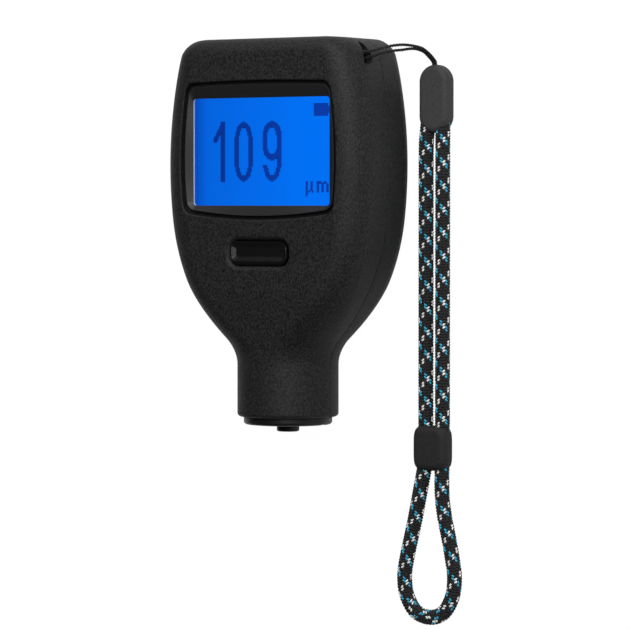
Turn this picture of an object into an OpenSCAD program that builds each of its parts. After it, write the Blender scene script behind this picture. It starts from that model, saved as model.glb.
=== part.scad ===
// Handheld coating thickness gauge with a sprung probe and a wrist strap, in millimetres.
// It lies on its back: X runs across the display, Y from the probe to the top end,
// and Z out of the display. The back rests on Z = 0.

/* [Housing] */
// Length from the top end to the lower end of the neck
upper_len = 83.7; // [81:0.1:90]
// Length of the straight tube that holds the probe
tube_len = 12.7; // [12:0.1:20]
// Outer diameter of the tube
tube_d = 25.8; // [25:0.1:27.4]
// Housing left on each side of the display opening at the widest place
side_margin = 7.6; // [7:0.1:10]
// Distance of the widest place from the top end
widest_from_top = 32.6; // [28:0.1:38]
// Radius of the long bowed flanks
flank_r = 114; // [100:1:140]
// Radius of the shoulders below the display
shoulder_r = 54; // [48:1:60]
// Radius of the hollow between a shoulder and the tube
neck_r = 10.2; // [8:0.1:12]
// Radius of the long edges
edge_r = 8; // [6.5:0.1:9]
// Radius of the two upper corners, seen from the front
corner_r = 5.5; // [4.5:0.1:7]
// Radius of the edge round the top end
top_r = 4; // [3:0.1:4.4]
// Length over which the round tube grows into the flat body
blend_len = 22.5; // [18:0.1:25]
// Wall thickness of both shells
wall = 2; // [1.7:0.1:2.2]
// Radius of the edge at the end of the tube
lip_r = 1; // [0.5:0.1:1.4]

/* [Display] */
// Width of the opening in the front shell
display_w = 46.8; // [45:0.1:49]
// Height of the opening in the front shell
display_h = 33.2; // [31:0.1:33.8]
// Distance of the centre of the opening from the top end
display_from_top = 29.2; // [29:0.1:31]
// Gap between the opening and the raised part of the bezel
bezel_groove = 0.9; // [0.5:0.1:1.2]
// Width of the bezel hidden behind the front wall
bezel_flange = 1.2; // [0.8:0.1:1.4]
// Radius of the corners of the opening
display_r = 2.5; // [2:0.1:4]
// How far the sides of the opening bow out
bow_side = 1.1; // [0.4:0.1:1.6]
// How far the top and bottom of the opening bow out
bow_end = 1.4; // [0.4:0.1:1.8]
// Width from the side of the opening to the clear window
bezel_side = 2.7; // [2.5:0.1:3.6]
// Width from the top and bottom of the opening to the clear window
bezel_end = 2.9; // [2.7:0.1:3.6]
// Width of the bezel left round the lens
lens_wall = 0.4; // [0.3:0.05:0.6]
// Depth of the lens below the front face
window_depth = 1.5; // [1.4:0.1:2.2]
// Thickness of the lens
lens_t = 1; // [0.8:0.1:1.5]
// Thickness of the adhesive between lens and display
tape_t = 0.2; // [0.1:0.05:0.4]
// Thickness of the display glass
lcd_t = 2.6; // [2:0.1:3]
// Thickness of the backlight
backlight_t = 4.1; // [3:0.1:4.6]
// Width of the elastomer strips along the display
strip_w = 2; // [1.5:0.1:2.5]

/* [Board] */
// Thickness of the circuit board
board_t = 1.6; // [1:0.1:2]
// Room under the board for its parts
under_board = 2.8; // [2.6:0.1:4]
// Height of the flat chip
chip_h = 1.4; // [1:0.1:1.8]
// Height of the radio module
radio_h = 2.2; // [1.5:0.1:2.4]
// Height of the probe connector
connector_h = 3.2; // [2.8:0.1:3.6]
// Diameter of the posts that carry the board
board_post_d = 4.4; // [4:0.1:4.8]
// Diameter of the board screws
board_screw_d = 2; // [1.6:0.1:2.2]

/* [Key] */
// Width of the key
button_w = 17.4; // [14:0.1:18]
// Height of the key, along the body
button_h = 6.7; // [6:0.1:7.4]
// Distance of the key from the top end
button_from_top = 54.7; // [54:0.1:56]
// Gap round the key
button_gap = 0.25; // [0.15:0.05:0.4]
// Travel of the key
button_travel = 0.6; // [0.3:0.1:0.8]
// Depth of the dish in the key
dish_depth = 0.6; // [0.3:0.1:0.8]
// Height of the switch body on the board
switch_h = 3.5; // [3:0.1:3.8]

/* [Probe] */
// Diameter of the nose ring
ring_d = 22.8; // [22.2:0.1:23.6]
// Length of the nose ring outside the tube
ring_len = 2.7; // [2.2:0.1:4]
// Diameter of the probe tip
tip_d = 5.8; // [5:0.1:6.2]
// Length of the probe tip outside the nose ring
tip_out = 1.9; // [1:0.1:2.2]
// Radial running clearance of the probe tip
tip_gap = 0.08; // [0.05:0.01:0.1]
// Diameter of the pole in the tip
core_d = 2.4; // [1.6:0.1:2.6]
// Wire diameter of the probe spring
spring_wire = 0.6; // [0.4:0.1:0.8]
// Turns of the probe spring
spring_turns = 5; // [3:1:6]

/* [Batteries] */
// Diameter of a cell
cell_d = 10.5; // [10:0.1:11]
// Length of a cell with its button
cell_len = 44.5; // [43:0.1:45.5]
// Free space round a cell
cell_gap = 0.3; // [0.2:0.05:0.5]
// Thickness of the bay roof
roof_t = 1.3; // [1:0.1:1.6]
// Thickness of the bay walls
bay_wall = 1.5; // [1.2:0.1:1.8]
// Thickness of the contact plates
contact_t = 0.4; // [0.3:0.05:0.6]
// Length of a contact spring under load
contact_spring = 3; // [2.4:0.1:3.5]

/* [Battery cover] */
// Width of the cover
cover_w = 30; // [29:0.1:31]
// Thickness of the cover
cover_t = 1.8; // [1.6:0.1:2]
// Width of the tongues that run in the side grooves
tongue_w = 1; // [0.8:0.1:1.2]
// Thickness of the ledges under the tongues
ledge_t = 0.8; // [0.6:0.1:0.9]
// Clearance round the cover
slide_gap = 0.2; // [0.15:0.05:0.3]
// Height of the cover's lip at the top end
lip_h = 8; // [6:0.1:9]

/* [Case screws] */
// Diameter of the case screws
screw_d = 2.5; // [2:0.1:2.7]
// Diameter of the screw heads
screw_head_d = 4; // [3.6:0.1:4.2]
// Diameter of the screw bosses
boss_d = 5.5; // [5.2:0.1:5.7]
// Distance of the lower screws from the centre line
lower_boss_x = 17; // [16.6:0.1:18]
// Distance of the lower screws from the top end
lower_boss_from_top = 62.5; // [62:0.1:64]
// Distance of the upper screws from the top end
upper_boss_from_top = 8.9; // [8.6:0.1:9]

/* [Strap eye] */
// Length of the slot in the upper right corner
slot_len = 7; // [6:0.1:7.6]
// Width of the slot
slot_w = 2.2; // [2:0.1:2.6]
// Distance of the slot's centre from the top end
slot_from_top = 4.5; // [4.2:0.1:5]
// Diameter of the post behind the slot
post_d = 2; // [1.6:0.1:2.2]

/* [Strap] */
// Diameter of the braided cord
cord_d = 3.6; // [3.2:0.1:3.8]
// Distance between the centres of the two cords
cord_pitch = 4.4; // [4.2:0.1:4.6]
// Diameter of the thin loop
loop_d = 0.75; // [0.5:0.05:0.8]
// Width of the clip
clip_w = 8.8; // [8.6:0.1:10.4]
// Length of the clip
clip_len = 16.8; // [14:0.1:18]
// Thickness of the clip
clip_t = 4.6; // [4.4:0.1:6]
// Width of the slider
slider_w = 10; // [9.8:0.1:11.6]
// Length of the slider
slider_len = 11.5; // [9:0.1:13]
// Thickness of the slider
slider_t = 5.2; // [4.9:0.1:6.4]

/* [Hidden] */
$fn = 48;

// Colours
shell_black = "#2b2b2c";
trim_black = "#1b1b1c";
metal = "#c9c9c6";
spring_steel = "#b4b6b8";

// Depth, stacked from the battery cover to the front face
cell_z = cover_t + cell_gap + cell_d / 2;
bay_top = cover_t + 2 * cell_gap + cell_d;
bay_roof = bay_top + roof_t;
board_z = bay_roof + under_board;
board_top = board_z + board_t;
lcd_z = board_top + backlight_t;
lcd_top = lcd_z + lcd_t;
lens_z = lcd_top + tape_t;
lens_top = lens_z + lens_t;
body_d = lens_top + window_depth;
mid_z = body_d / 2;
wall_z = body_d - wall;

// Length, with the origin halfway between the top end and the probe tip
y_top = (upper_len + tube_len + ring_len + tip_out) / 2;
y_neck = y_top - upper_len;
y_lip = y_neck - tube_len;
y_face = y_lip - ring_len;
y_tip = y_face - tip_out;
y_wide = y_top - widest_from_top;
y_corner = y_top - corner_r;
display_y = y_top - display_from_top;
button_y = y_top - button_from_top;

// Three arcs that touch each other make the outline: flank, shoulder and neck
tube_r = tube_d / 2;
half_w = display_w / 2 + side_margin;
flank_c = [half_w - flank_r, y_wide];
neck_c = [tube_r + neck_r, y_neck];
inner_reach = flank_r - shoulder_r;
outer_reach = shoulder_r + neck_r;
span = norm(neck_c - flank_c);
span_dir = (neck_c - flank_c) / span;
span_part = (inner_reach * inner_reach - outer_reach * outer_reach + span * span) / (2 * span);
span_side = sqrt(inner_reach * inner_reach - span_part * span_part);
shoulder_c = flank_c + span_part * span_dir + span_side * [-span_dir[1], span_dir[0]];
y_flank = (flank_c + unit(shoulder_c - flank_c) * flank_r)[1];
y_turn = (shoulder_c + unit(neck_c - shoulder_c) * shoulder_r)[1];

// Facets of the housing: steps along each stretch, and round each long edge
neck_steps = 12;
flank_steps = 5;
edge_steps = 8;
corner_steps = 6;
lip_steps = 3;
least_flat = 0.1;

// Bezel and display
window_w = display_w - 2 * bezel_side;
window_h = display_h - 2 * bezel_end;
window_r = 1.2;
bezel_top = body_d - 0.15;
bezel_rim = 0.25;
bezel_edge = 0.3;
slider_power = 4.6;
lcd_w = display_w - 0.8;
lcd_h = display_h - 0.8;
lip_flare = 0.7;

// Board
board_w = display_w - 1.8;
board_y0 = button_y - 3.6;
board_y1 = y_top - 13.5;
board_tail_w = 22;
board_tail_len = 11;
board_head_w = 28;
post_x_low = 12.6;
post_x_up = 11;
post_y_low = button_y + 2.8;
post_y_up = y_top - 8;
board_posts = [[-post_x_low, post_y_low], [post_x_low, post_y_low], [-post_x_up, post_y_up], [post_x_up, post_y_up]];
board_screw_len = 6;
board_head_h = 1.2;
board_tail_y = board_y0 - board_tail_len;
chip_w = 10;
chip_x = 9.5;
radio_w = 12;
radio_len = 16;
part_len = 1.8;
part_w = 1;
part_h = 0.9;
part_pitch = 3.2;
part_from_mid = 8;
connector_w = 6;
connector_len = 4.5;
connector_y = board_tail_y + connector_len / 2 + 1;

// Key
button_top = body_d - 0.1;
button_r = 2.4;
flange_out = 1;
flange_t = 0.8;
flange_top = wall_z - 0.3;
switch_w = 6;
plunger_r = 1.7;
plunger_out = 1;
switch_top = board_top + switch_h;
plunger_top = switch_top + plunger_out;
fit_gap = 0.05;

// Battery bay
bay_y1 = y_top - wall - bay_wall - slide_gap;
bay_y0 = bay_y1 - cell_len - contact_spring - 2 * contact_t;
cell_x = cell_d / 2 + cell_gap;
bay_half = cell_d + 2 * cell_gap;
cover_y0 = bay_y0 - bay_wall - 1;
rail_z = cover_t + slide_gap;
rail_t = 1.2;
rail_w = 2.2;
rail_x = cover_w / 2 + tongue_w + slide_gap;
hook_len = 1.5;
hook_w = 16;
tab_w = 2.4;
tab_gap = 0.3;
plate_w = 8;
plate_h = 8;
nub_r = 1.9;
nub_len = 1.2;
contact_wire = 0.5;
cover_lip_t = wall - slide_gap;
grip_count = 5;
grip_pitch = 2.2;

// Case screws
upper_boss_x = rail_x + boss_d / 2 + 0.5;
screw_places = [
    [-upper_boss_x, y_top - upper_boss_from_top], [upper_boss_x, y_top - upper_boss_from_top],
    [-lower_boss_x, y_top - lower_boss_from_top], [lower_boss_x, y_top - lower_boss_from_top]
];
head_h = 2.2;
head_z = 4;
screw_len = 16;
head_gap = 0.5;

// Probe, measured along Y
bore_r = tube_r - wall + fit_gap;
spigot_r = bore_r - fit_gap;
spigot_len = 8;
ring_wall = 1.4;
chamber_r = tip_d / 2 + 3.1;
guide_wall = 1.5;
guide_len = 10;
y_spigot = y_lip + spigot_len;
y_guide = y_lip + guide_len;
y_stop = y_face + ring_wall;
groove_in = 1.1;
groove_y0 = y_lip + 3;
groove_y1 = y_lip + 4.6;
bar_groove_w = 2.6;
bar_groove_depth = 0.7;
tip_r = tip_d / 2;
flange_r = chamber_r - 0.3;
plunger_flange_t = 2;
sleeve_wall = 0.45;
sleeve_r = tip_r - sleeve_wall;
sleeve_front = 0.8;
y_sleeve = y_guide + 1.6;
cap_t = 2;
y_seat = y_guide - cap_t;
core_r = core_d / 2;
coil_len = 8;
y_coil = y_tip + sleeve_front + 0.2;
spring_r = (tip_r + chamber_r) / 2;
lead_r = 0.7;

// Strap eye
slot_tilt = 40;
slot_lean = 12;
slot_y = y_top - slot_from_top;
slot_z = mid_z + 6.2;
slot_depth = 2.9;
post_x = half_width(slot_y, wall) - 2.5;
post_y = slot_y - 0.6;

// Strap, laid on the floor beside the housing
strap_x = 36.8;
strap_z = clip_t / 2;
clip_top_y = 43.3;
clip_y = clip_top_y - clip_len / 2;
clip_end_y = clip_top_y - clip_len;
slider_y = -54.1;
socket_len = 4;
socket_gap = 0.05;
slider_gap = 0.2;
loop_pitch = 1;
cord_sides = 8;

// Thin loop: out of the clip, through the slot, round the post and back
loop_route = [
    [37.3, 40.5, 2.3], [37.3, 43.5, 2.3], [37.35, 44.4, 3], [37.35, 46.1, 5.2], [36.85, 47.35, 8.2],
    [36.1, 47.8, 11.2], [35.2, 47.9, 14.4], [34.15, 47.75, 16.6], [32.9, 47.4, 18.4], [31.05, 46.9, 19.6],
    [29, 46.4, 20], [26.6, 46.2, 20], [25, 46.2, 20], [23.9, 46.6, 19.8], [22.8, 47.1, 19.6],
    [21.6, 46.6, 19.5], [21.1, 45.4, 19.4], [21.6, 44.2, 19.3], [22.8, 43.7, 19.2], [24.2, 44, 19],
    [25.2, 44.4, 18.9], [26.6, 44.8, 18.8], [28.8, 45.2, 18.7], [31.5, 45.7, 18.3], [33.3, 46.2, 17],
    [34.3, 46.6, 15], [35.05, 46.85, 13], [35.6, 47, 10.6], [36.1, 46.6, 7.6], [36.4, 45.4, 4.8],
    [36.3, 44.3, 3], [36.3, 43.5, 2.3], [36.3, 40.5, 2.3]
];

// Braided cord: out of the clip, through the slider, round the wrist loop and back
cord_left = [
    [34.6, 30, 2.3], [34.6, 20, 2.3], [34.6, 10, 2.3], [34.6, 0, 2.3], [34.6, -10, 2.3], [34.6, -20, 2.3],
    [34.6, -30, 2.3], [34.6, -40, 2.3], [34.6, -48, 2.3], [34.6, -56, 2.3], [34.55, -62, 2.3],
    [33.5, -68, 2.2], [31.4, -74, 2], [29.2, -80, 2], [27.8, -86, 2], [28.4, -91.6, 2], [31, -95.8, 2]
];
cord_right = [
    [39, -96, 2], [41.8, -92, 2], [42.7, -86, 2], [42, -80, 2], [40.8, -74, 2], [39.6, -68, 2.2],
    [39, -62, 2.3], [39, -56, 2.3], [39, -48, 2.3], [39, -40, 2.3], [39, -30, 2.3],
    [39, -20, 2.3], [39, -10, 2.3], [39, 0, 2.3], [39, 10, 2.3], [39, 20, 2.3], [39, 30, 2.3]
];
cord_route = concat(cord_left, [[35, -97.3, 2]], cord_right);

function unit(v) = v / norm(v);

function clamp(t) = max(0, min(1, t));

// Points of an arc in a plane
function arc(centre, r, from, to, steps) = [
    for (k = [0 : steps]) let (a = from + (to - from) * k / steps) centre + r * [cos(a), sin(a)]
];

// Half width of the outline at a place along the body
function outline(y) =
    y <= y_neck ? tube_r :
    y < y_turn ? neck_c[0] - sqrt(neck_r * neck_r - pow(y - y_neck, 2)) :
    y < y_flank ? shoulder_c[0] + sqrt(shoulder_r * shoulder_r - pow(y - shoulder_c[1], 2)) :
    flank_c[0] + sqrt(flank_r * flank_r - pow(y - y_wide, 2));

// How far the section has changed from the round tube to the flat body, from 0 to 1
function ease(y) = let (t = clamp((y - y_neck) / blend_len)) t * t * (3 - 2 * t);

// How far a rounded end has curved away past its start
function drop(y, start, r) = y <= start ? 0 : r - sqrt(max(0, r * r - pow(y - start, 2)));

function lip_drop(y, inset) = inset > 0 ? 0 : drop(-y, -y_lip - lip_r, lip_r);

function top_drop(y, inset) = drop(y, y_top - top_r, top_r - inset) + lip_drop(y, inset);

// Section of the housing, moved in from its surface by inset
function half_width(y, inset) =
    outline(y) - inset - drop(y, y_corner, corner_r - inset) - lip_drop(y, inset);

function half_depth(y, inset) = tube_r + (mid_z - tube_r) * ease(y) - inset - top_drop(y, inset);

function round_r(y, inset) = min(
    tube_r + (edge_r - tube_r) * ease(y) - inset - top_drop(y, inset),
    half_width(y, inset) - least_flat
);

function quarter(y, inset) =
    let (r = round_r(y, inset), c = [half_width(y, inset) - r, half_depth(y, inset) - r])
    [for (k = [1 : edge_steps]) c + r * [cos(90 * k / edge_steps), sin(90 * k / edge_steps)]];

function half_section(y, inset) =
    let (q = quarter(y, inset), n = edge_steps, a = half_width(y, inset))
    concat(
        [[a, y, mid_z]],
        [for (k = [0 : n - 1]) [q[k][0], y, mid_z + q[k][1]]],
        [for (k = [n - 1 : -1 : 0]) [-q[k][0], y, mid_z + q[k][1]]],
        [[-a, y, mid_z]]
    );

function stations(inset) = concat(
    [for (k = [0 : lip_steps]) y_lip + lip_r * (1 - cos(90 * k / lip_steps))],
    [for (k = [0 : neck_steps]) y_neck + (y_flank - y_neck) * k / neck_steps],
    [for (k = [1 : flank_steps]) y_flank + (y_corner - y_flank) * k / flank_steps],
    [for (k = [1 : corner_steps]) y_corner + (corner_r - inset) * sin(90 * k / corner_steps)]
);

// Front half of the housing as a lofted wall, open at the tube and at the parting plane
module half_shell() {
    outer = stations(0);
    inner = stations(wall);
    rings = len(outer);
    per_ring = 2 * edge_steps + 2;
    last = per_ring - 1;
    end = rings - 1;
    base = rings * per_ring;
    points = concat(
        [for (y = outer) each half_section(y, 0)],
        [for (y = inner) each half_section(y, wall)]
    );
    outside = [for (i = [0 : end - 1], j = [0 : last - 1]) let (a = i * per_ring + j)
        [a, a + 1, a + per_ring + 1, a + per_ring]];
    inside = [for (i = [0 : end - 1], j = [0 : last - 1]) let (a = base + i * per_ring + j)
        [a, a + per_ring, a + per_ring + 1, a + 1]];
    right_rim = [for (i = [0 : end - 1]) let (a = i * per_ring)
        [a, a + per_ring, a + base + per_ring, a + base]];
    left_rim = [for (i = [0 : end - 1]) let (a = i * per_ring + last)
        [a, a + base, a + base + per_ring, a + per_ring]];
    tube_end = [for (j = [0 : last - 1]) [j, j + base, j + 1 + base, j + 1]];
    top_out = [[for (j = [0 : last]) end * per_ring + j]];
    top_in = [[for (j = [last : -1 : 0]) base + end * per_ring + j]];
    top_rim = [[end * per_ring + last, base + end * per_ring + last, base + end * per_ring, end * per_ring]];
    faces = concat(outside, inside, right_rim, left_rim, tube_end, top_out, top_in, top_rim);
    polyhedron(points, faces, convexity = 10);
}

// Turns what is drawn round Z so that it runs along the probe axis
module along_y() {
    translate([0, 0, mid_z]) rotate([-90, 0, 0]) children();
}

// Solid of revolution round the probe axis, from radius and Y pairs
module turned(profile) {
    along_y() rotate_extrude() polygon(profile);
}

// Outline with bowed sides and round corners
module barrel(w, h, power) {
    steps = 56;
    p = 2 / power;
    polygon([for (k = [0 : steps - 1]) let (c = cos(360 * k / steps), s = sin(360 * k / steps))
        [sign(c) * w / 2 * pow(abs(c), p), sign(s) * h / 2 * pow(abs(s), p)]]);
}

// Outline of the display opening, with bowed sides and round corners, grown by out all round
module bowed_rect(out, steps = 6, spans = 8) {
    w = display_w + 2 * out;
    h = display_h + 2 * out;
    r = display_r + out;
    x = w / 2 - r;
    y = h / 2 - r;
    part = [for (k = [1 : spans - 1]) 1 - 2 * k / spans];
    straight = concat(
        arc([x, y], r, 0, 90, steps), [for (t = part) [x * t, h / 2]],
        arc([-x, y], r, 90, 180, steps), [for (t = part) [-w / 2, y * t]],
        arc([-x, -y], r, 180, 270, steps), [for (t = part) [-x * t, -h / 2]],
        arc([x, -y], r, 270, 360, steps), [for (t = part) [w / 2, -y * t]]
    );
    polygon([for (p = straight) [
        p[0] * (1 - 2 * bow_side / w * pow(2 * p[1] / h, 2)),
        p[1] * (1 - 2 * bow_end / h * pow(2 * p[0] / w, 2))
    ]]);
}

// Rectangle with round corners
module round_rect(w, h, r, steps = 6) {
    x = w / 2 - r;
    y = h / 2 - r;
    polygon(concat(
        arc([x, y], r, 0, 90, steps), arc([-x, y], r, 90, 180, steps),
        arc([-x, -y], r, 180, 270, steps), arc([x, -y], r, 270, 360, steps)
    ));
}

// A box given by its middle in X, its lower corner in Y and Z, and its size
module bar(x, y, z, size) {
    translate([x - size[0] / 2, y, z]) cube(size);
}

// Tube of round section along a route, closed at both ends
function carried(dirs, side, i = 0) = i == len(dirs) ? [] :
    let (s = unit(side - (side * dirs[i]) * dirs[i])) concat([s], carried(dirs, s, i + 1));

module swept(route, r, sides = 8) {
    n = len(route);
    dirs = [for (i = [0 : n - 1]) unit(route[min(i + 1, n - 1)] - route[max(i - 1, 0)])];
    ups = carried(dirs, abs(dirs[0][2]) < 0.9 ? [0, 0, 1] : [1, 0, 0]);
    points = [for (i = [0 : n - 1], k = [0 : sides - 1]) let (a = 360 * (k + 0.5) / sides)
        route[i] + r * (cos(a) * ups[i] + sin(a) * cross(dirs[i], ups[i]))];
    skin = [for (i = [0 : n - 2], k = [0 : sides - 1]) let (m = (k + 1) % sides)
        [i * sides + k, (i + 1) * sides + k, (i + 1) * sides + m, i * sides + m]];
    first = [[for (k = [0 : sides - 1]) k]];
    final = [[for (k = [sides - 1 : -1 : 0]) (n - 1) * sides + k]];
    polyhedron(points, concat(skin, first, final), convexity = 10);
}

// Points of a spring along Y, from one radius to another
function coil_route(x, z, y0, y1, r0, r1, turns, per_turn = 12) = [
    for (k = [0 : turns * per_turn]) let (t = k / (turns * per_turn), a = 360 * k / per_turn)
        [x + (r0 + (r1 - r0) * t) * cos(a), y0 + (y1 - y0) * t, z + (r0 + (r1 - r0) * t) * sin(a)]
];

// Half of the rib that locks the nose ring in the tube
module ring_rib() {
    along_y() rotate_extrude(angle = 180)
        polygon([
            [bore_r - groove_in + 2 * fit_gap, groove_y0 + fit_gap], [bore_r + wall / 2, groove_y0 + fit_gap],
            [bore_r + wall / 2, groove_y1 - fit_gap], [bore_r - groove_in + 2 * fit_gap, groove_y1 - fit_gap]
        ]);
}

module tube_bore() {
    along_y() translate([0, 0, y_lip - 1]) cylinder(r = bore_r, h = spigot_len + 3);
}

module slot_cut() {
    translate([half_width(slot_y, 0), slot_y, slot_z])
        rotate([0, -slot_lean, 0]) rotate([slot_tilt, 0, 0]) rotate([0, 90, 0])
            translate([0, 0, -slot_depth]) linear_extrude(slot_depth + 4)
                round_rect(slot_w, slot_len, slot_w / 2 - 0.01, 8);
}

module flare(w, h, r, depth, out) {
    hull() {
        translate([0, 0, body_d - depth]) linear_extrude(0.01) round_rect(w, h, r);
        translate([0, 0, body_d + 0.3]) linear_extrude(0.01) round_rect(w + 2 * out, h + 2 * out, r + out);
    }
}

module front_shell() {
    hole_w = button_w + 2 * button_gap;
    hole_h = button_h + 2 * button_gap;
    color(shell_black) difference() {
        union() {
            difference() {
                half_shell();
                tube_bore();
            }
            mirror_up() ring_rib();
            for (p = screw_places) translate([p[0], p[1], mid_z]) cylinder(d = boss_d, h = wall_z + 1 - mid_z);
            for (p = board_posts)
                translate([p[0], p[1], board_top]) cylinder(d = board_post_d, h = wall_z + 1 - board_top);
            translate([post_x, post_y, mid_z]) cylinder(d = post_d, h = wall_z - mid_z);
        }
        translate([0, display_y, wall_z - 1]) linear_extrude(wall + 2) bowed_rect(0);
        translate([0, display_y, body_d - lip_flare]) display_lip();
        translate([0, display_y, lens_z]) linear_extrude(wall_z + fit_gap - lens_z)
            bowed_rect(bezel_flange + fit_gap);
        translate([0, button_y, wall_z - 1]) linear_extrude(wall + 2) round_rect(hole_w, hole_h, button_r);
        translate([0, button_y, 0]) flare(hole_w, hole_h, button_r, 0.9, 1.1);
        for (p = screw_places)
            translate([p[0], p[1], mid_z - 1]) cylinder(d = screw_d + 2 * fit_gap, h = screw_len + head_z - mid_z + 4);
        for (p = board_posts)
            translate([p[0], p[1], board_top - 1])
                cylinder(d = board_screw_d + 2 * fit_gap, h = board_screw_len - board_t + 2);
        slot_cut();
    }
}

// Soft outer edge of the display opening
module display_lip() {
    hull() {
        linear_extrude(0.01) bowed_rect(0);
        translate([0, 0, lip_flare + 0.3]) linear_extrude(0.01) bowed_rect(lip_flare);
    }
}

module mirror_up() {
    translate([0, 0, 2 * mid_z]) mirror([0, 0, 1]) children();
}

// Opening for the cover: outer skin, wider groove for the tongues, and the notch in the top end
module cover_opening() {
    w = cover_w + 2 * slide_gap;
    groove_w = w + 2 * tongue_w;
    length = y_top + 1 - cover_y0 + slide_gap;
    bar(0, cover_y0 - slide_gap, -1, [w, length, wall + 2]);
    bar(0, cover_y0 - slide_gap, ledge_t, [groove_w, length, wall + 2]);
    bar(0, cover_y0 - hook_len - slide_gap, ledge_t, [hook_w + 2 * slide_gap, hook_len + 1, wall + 2]);
    bar(0, y_top - wall - slide_gap, -1, [w, wall + 2, lip_h + slide_gap + 1]);
}

// Tray for the two cells, with rails that close the grooves from inside
module battery_bay() {
    length = bay_y1 - bay_y0 + 2 * bay_wall;
    y0 = bay_y0 - bay_wall;
    outer_w = 2 * (bay_half + bay_wall);
    difference() {
        union() {
            bar(0, y0, rail_z, [outer_w, length, bay_roof - rail_z]);
            bar(0, y0, rail_z, [2 * (rail_x + rail_w), length, rail_t]);
            for (s = [-1, 1]) bar(s * (rail_x + rail_w / 2 + fit_gap), y0, ledge_t, [rail_w, length, rail_z]);
        }
        bar(0, bay_y0, -1, [2 * bay_half, bay_y1 - bay_y0, bay_top + 1]);
        for (s = [-1, 1])
            bar(s * cell_x, bay_y1 - contact_t - tab_gap, bay_top - 1,
                [tab_w + 2 * tab_gap, contact_t + tab_gap, roof_t + 2]);
    }
}

module rear_shell() {
    color(shell_black) difference() {
        union() {
            difference() {
                mirror_up() half_shell();
                tube_bore();
                cover_opening();
            }
            ring_rib();
            battery_bay();
            for (p = screw_places) translate([p[0], p[1], wall / 2]) cylinder(d = boss_d, h = mid_z - wall / 2);
            translate([post_x, post_y, wall]) cylinder(d = post_d, h = mid_z - wall);
        }
        for (p = screw_places) {
            translate([p[0], p[1], -1]) cylinder(d = screw_head_d + 2 * fit_gap, h = head_z + head_h + 1);
            translate([p[0], p[1], -1]) cylinder(d = screw_d + 2 * fit_gap, h = mid_z + 2);
        }
    }
}

module battery_cover() {
    side = concat(
        [[cover_y0, cover_t], [cover_y0, 0]],
        arc([y_top - top_r, top_r], top_r, -90, 0, 8),
        [[y_top, lip_h], [y_top - cover_lip_t, lip_h], [y_top - cover_lip_t, cover_t]]
    );
    tongue_len = y_top - top_r - 1 - cover_y0;
    grip_y = cover_y0 + 8;
    color(shell_black) difference() {
        union() {
            translate([-cover_w / 2, 0, 0]) rotate([90, 0, 90]) linear_extrude(cover_w) polygon(side);
            bar(0, cover_y0, ledge_t + slide_gap, [cover_w + 2 * tongue_w, tongue_len, cover_t - ledge_t - slide_gap]);
            bar(0, cover_y0 - hook_len, ledge_t + slide_gap,
                [hook_w, hook_len + 1, cover_t - ledge_t - slide_gap]);
        }
        for (k = [0 : grip_count - 1])
            translate([0, grip_y + k * grip_pitch, 0]) rotate([0, 90, 0])
                cylinder(d = 1, h = hook_w - 2 * k, center = true, $fn = 24);
    }
}

module display_bezel() {
    color(trim_black) translate([0, display_y, 0]) difference() {
        union() {
            translate([0, 0, lens_z]) linear_extrude(wall_z - lens_z) bowed_rect(bezel_flange);
            translate([0, 0, lens_z]) linear_extrude(bezel_top - lens_z) bowed_rect(-bezel_groove);
        }
        translate([0, 0, lens_z - 1]) linear_extrude(lens_t + 1) bowed_rect(fit_gap - bezel_groove - lens_wall);
        hull() {
            translate([0, 0, lens_top - 0.5]) linear_extrude(bezel_edge + 0.5)
                round_rect(window_w, window_h, window_r);
            translate([0, 0, bezel_top]) linear_extrude(0.5) bowed_rect(-bezel_groove - bezel_rim);
        }
    }
}

module display_lens() {
    color("#9fc4e8", 0.4) translate([0, display_y, lens_z]) linear_extrude(lens_t)
        bowed_rect(-bezel_groove - lens_wall);
}

module lcd_glass() {
    color("#0a6cf0") bar(0, display_y - lcd_h / 2, lcd_z, [lcd_w, lcd_h, lcd_t]);
}

module backlight() {
    h = lcd_h - 2 * strip_w - 1;
    color("white") bar(0, display_y - h / 2, board_top, [lcd_w, h, backlight_t]);
}

module elastomer_strips() {
    color("#6b6f76") for (s = [-1, 1])
        bar(0, display_y + s * (lcd_h - strip_w) / 2 - strip_w / 2, board_top, [lcd_w - 2, strip_w, backlight_t]);
}

module main_board() {
    color("#1f6b3a") difference() {
        union() {
            bar(0, board_y0, board_z, [board_w, board_y1 - board_y0, board_t]);
            bar(0, board_tail_y, board_z, [board_tail_w, board_tail_len + 1, board_t]);
            bar(0, board_y1 - 1, board_z, [board_head_w, bay_y1 + tab_gap - board_y1 + 1, board_t]);
        }
        for (p = board_posts)
            translate([p[0], p[1], board_z - 1]) cylinder(d = board_screw_d + 2 * fit_gap, h = board_t + 2);
    }
}

// Small parts in two rows under the board
module board_parts() {
    size = [part_len, part_w, part_h];
    color("#b79a6a") for (row = [0, 1], k = [0 : 5])
        bar((k - 2.5) * part_pitch, display_y + part_from_mid + row * 4 * part_w, board_z - part_h, size);
}

module controller_chip() {
    color("#222226") bar(-chip_x, display_y - chip_w - 2, board_z - chip_h, [chip_w, chip_w, chip_h]);
}

module radio_module() {
    color("#9a9da0") bar(chip_x, display_y - chip_w - 3, board_z - radio_h, [radio_w, radio_len, radio_h]);
}

module board_connector() {
    color("#e8e2d0") difference() {
        bar(0, connector_y - connector_len / 2, board_z - connector_h, [connector_w, connector_len, connector_h]);
        translate([0, connector_y, board_z - connector_h / 2]) rotate([90, 0, 0])
            cylinder(r = lead_r + fit_gap, h = connector_len);
    }
}

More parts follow.
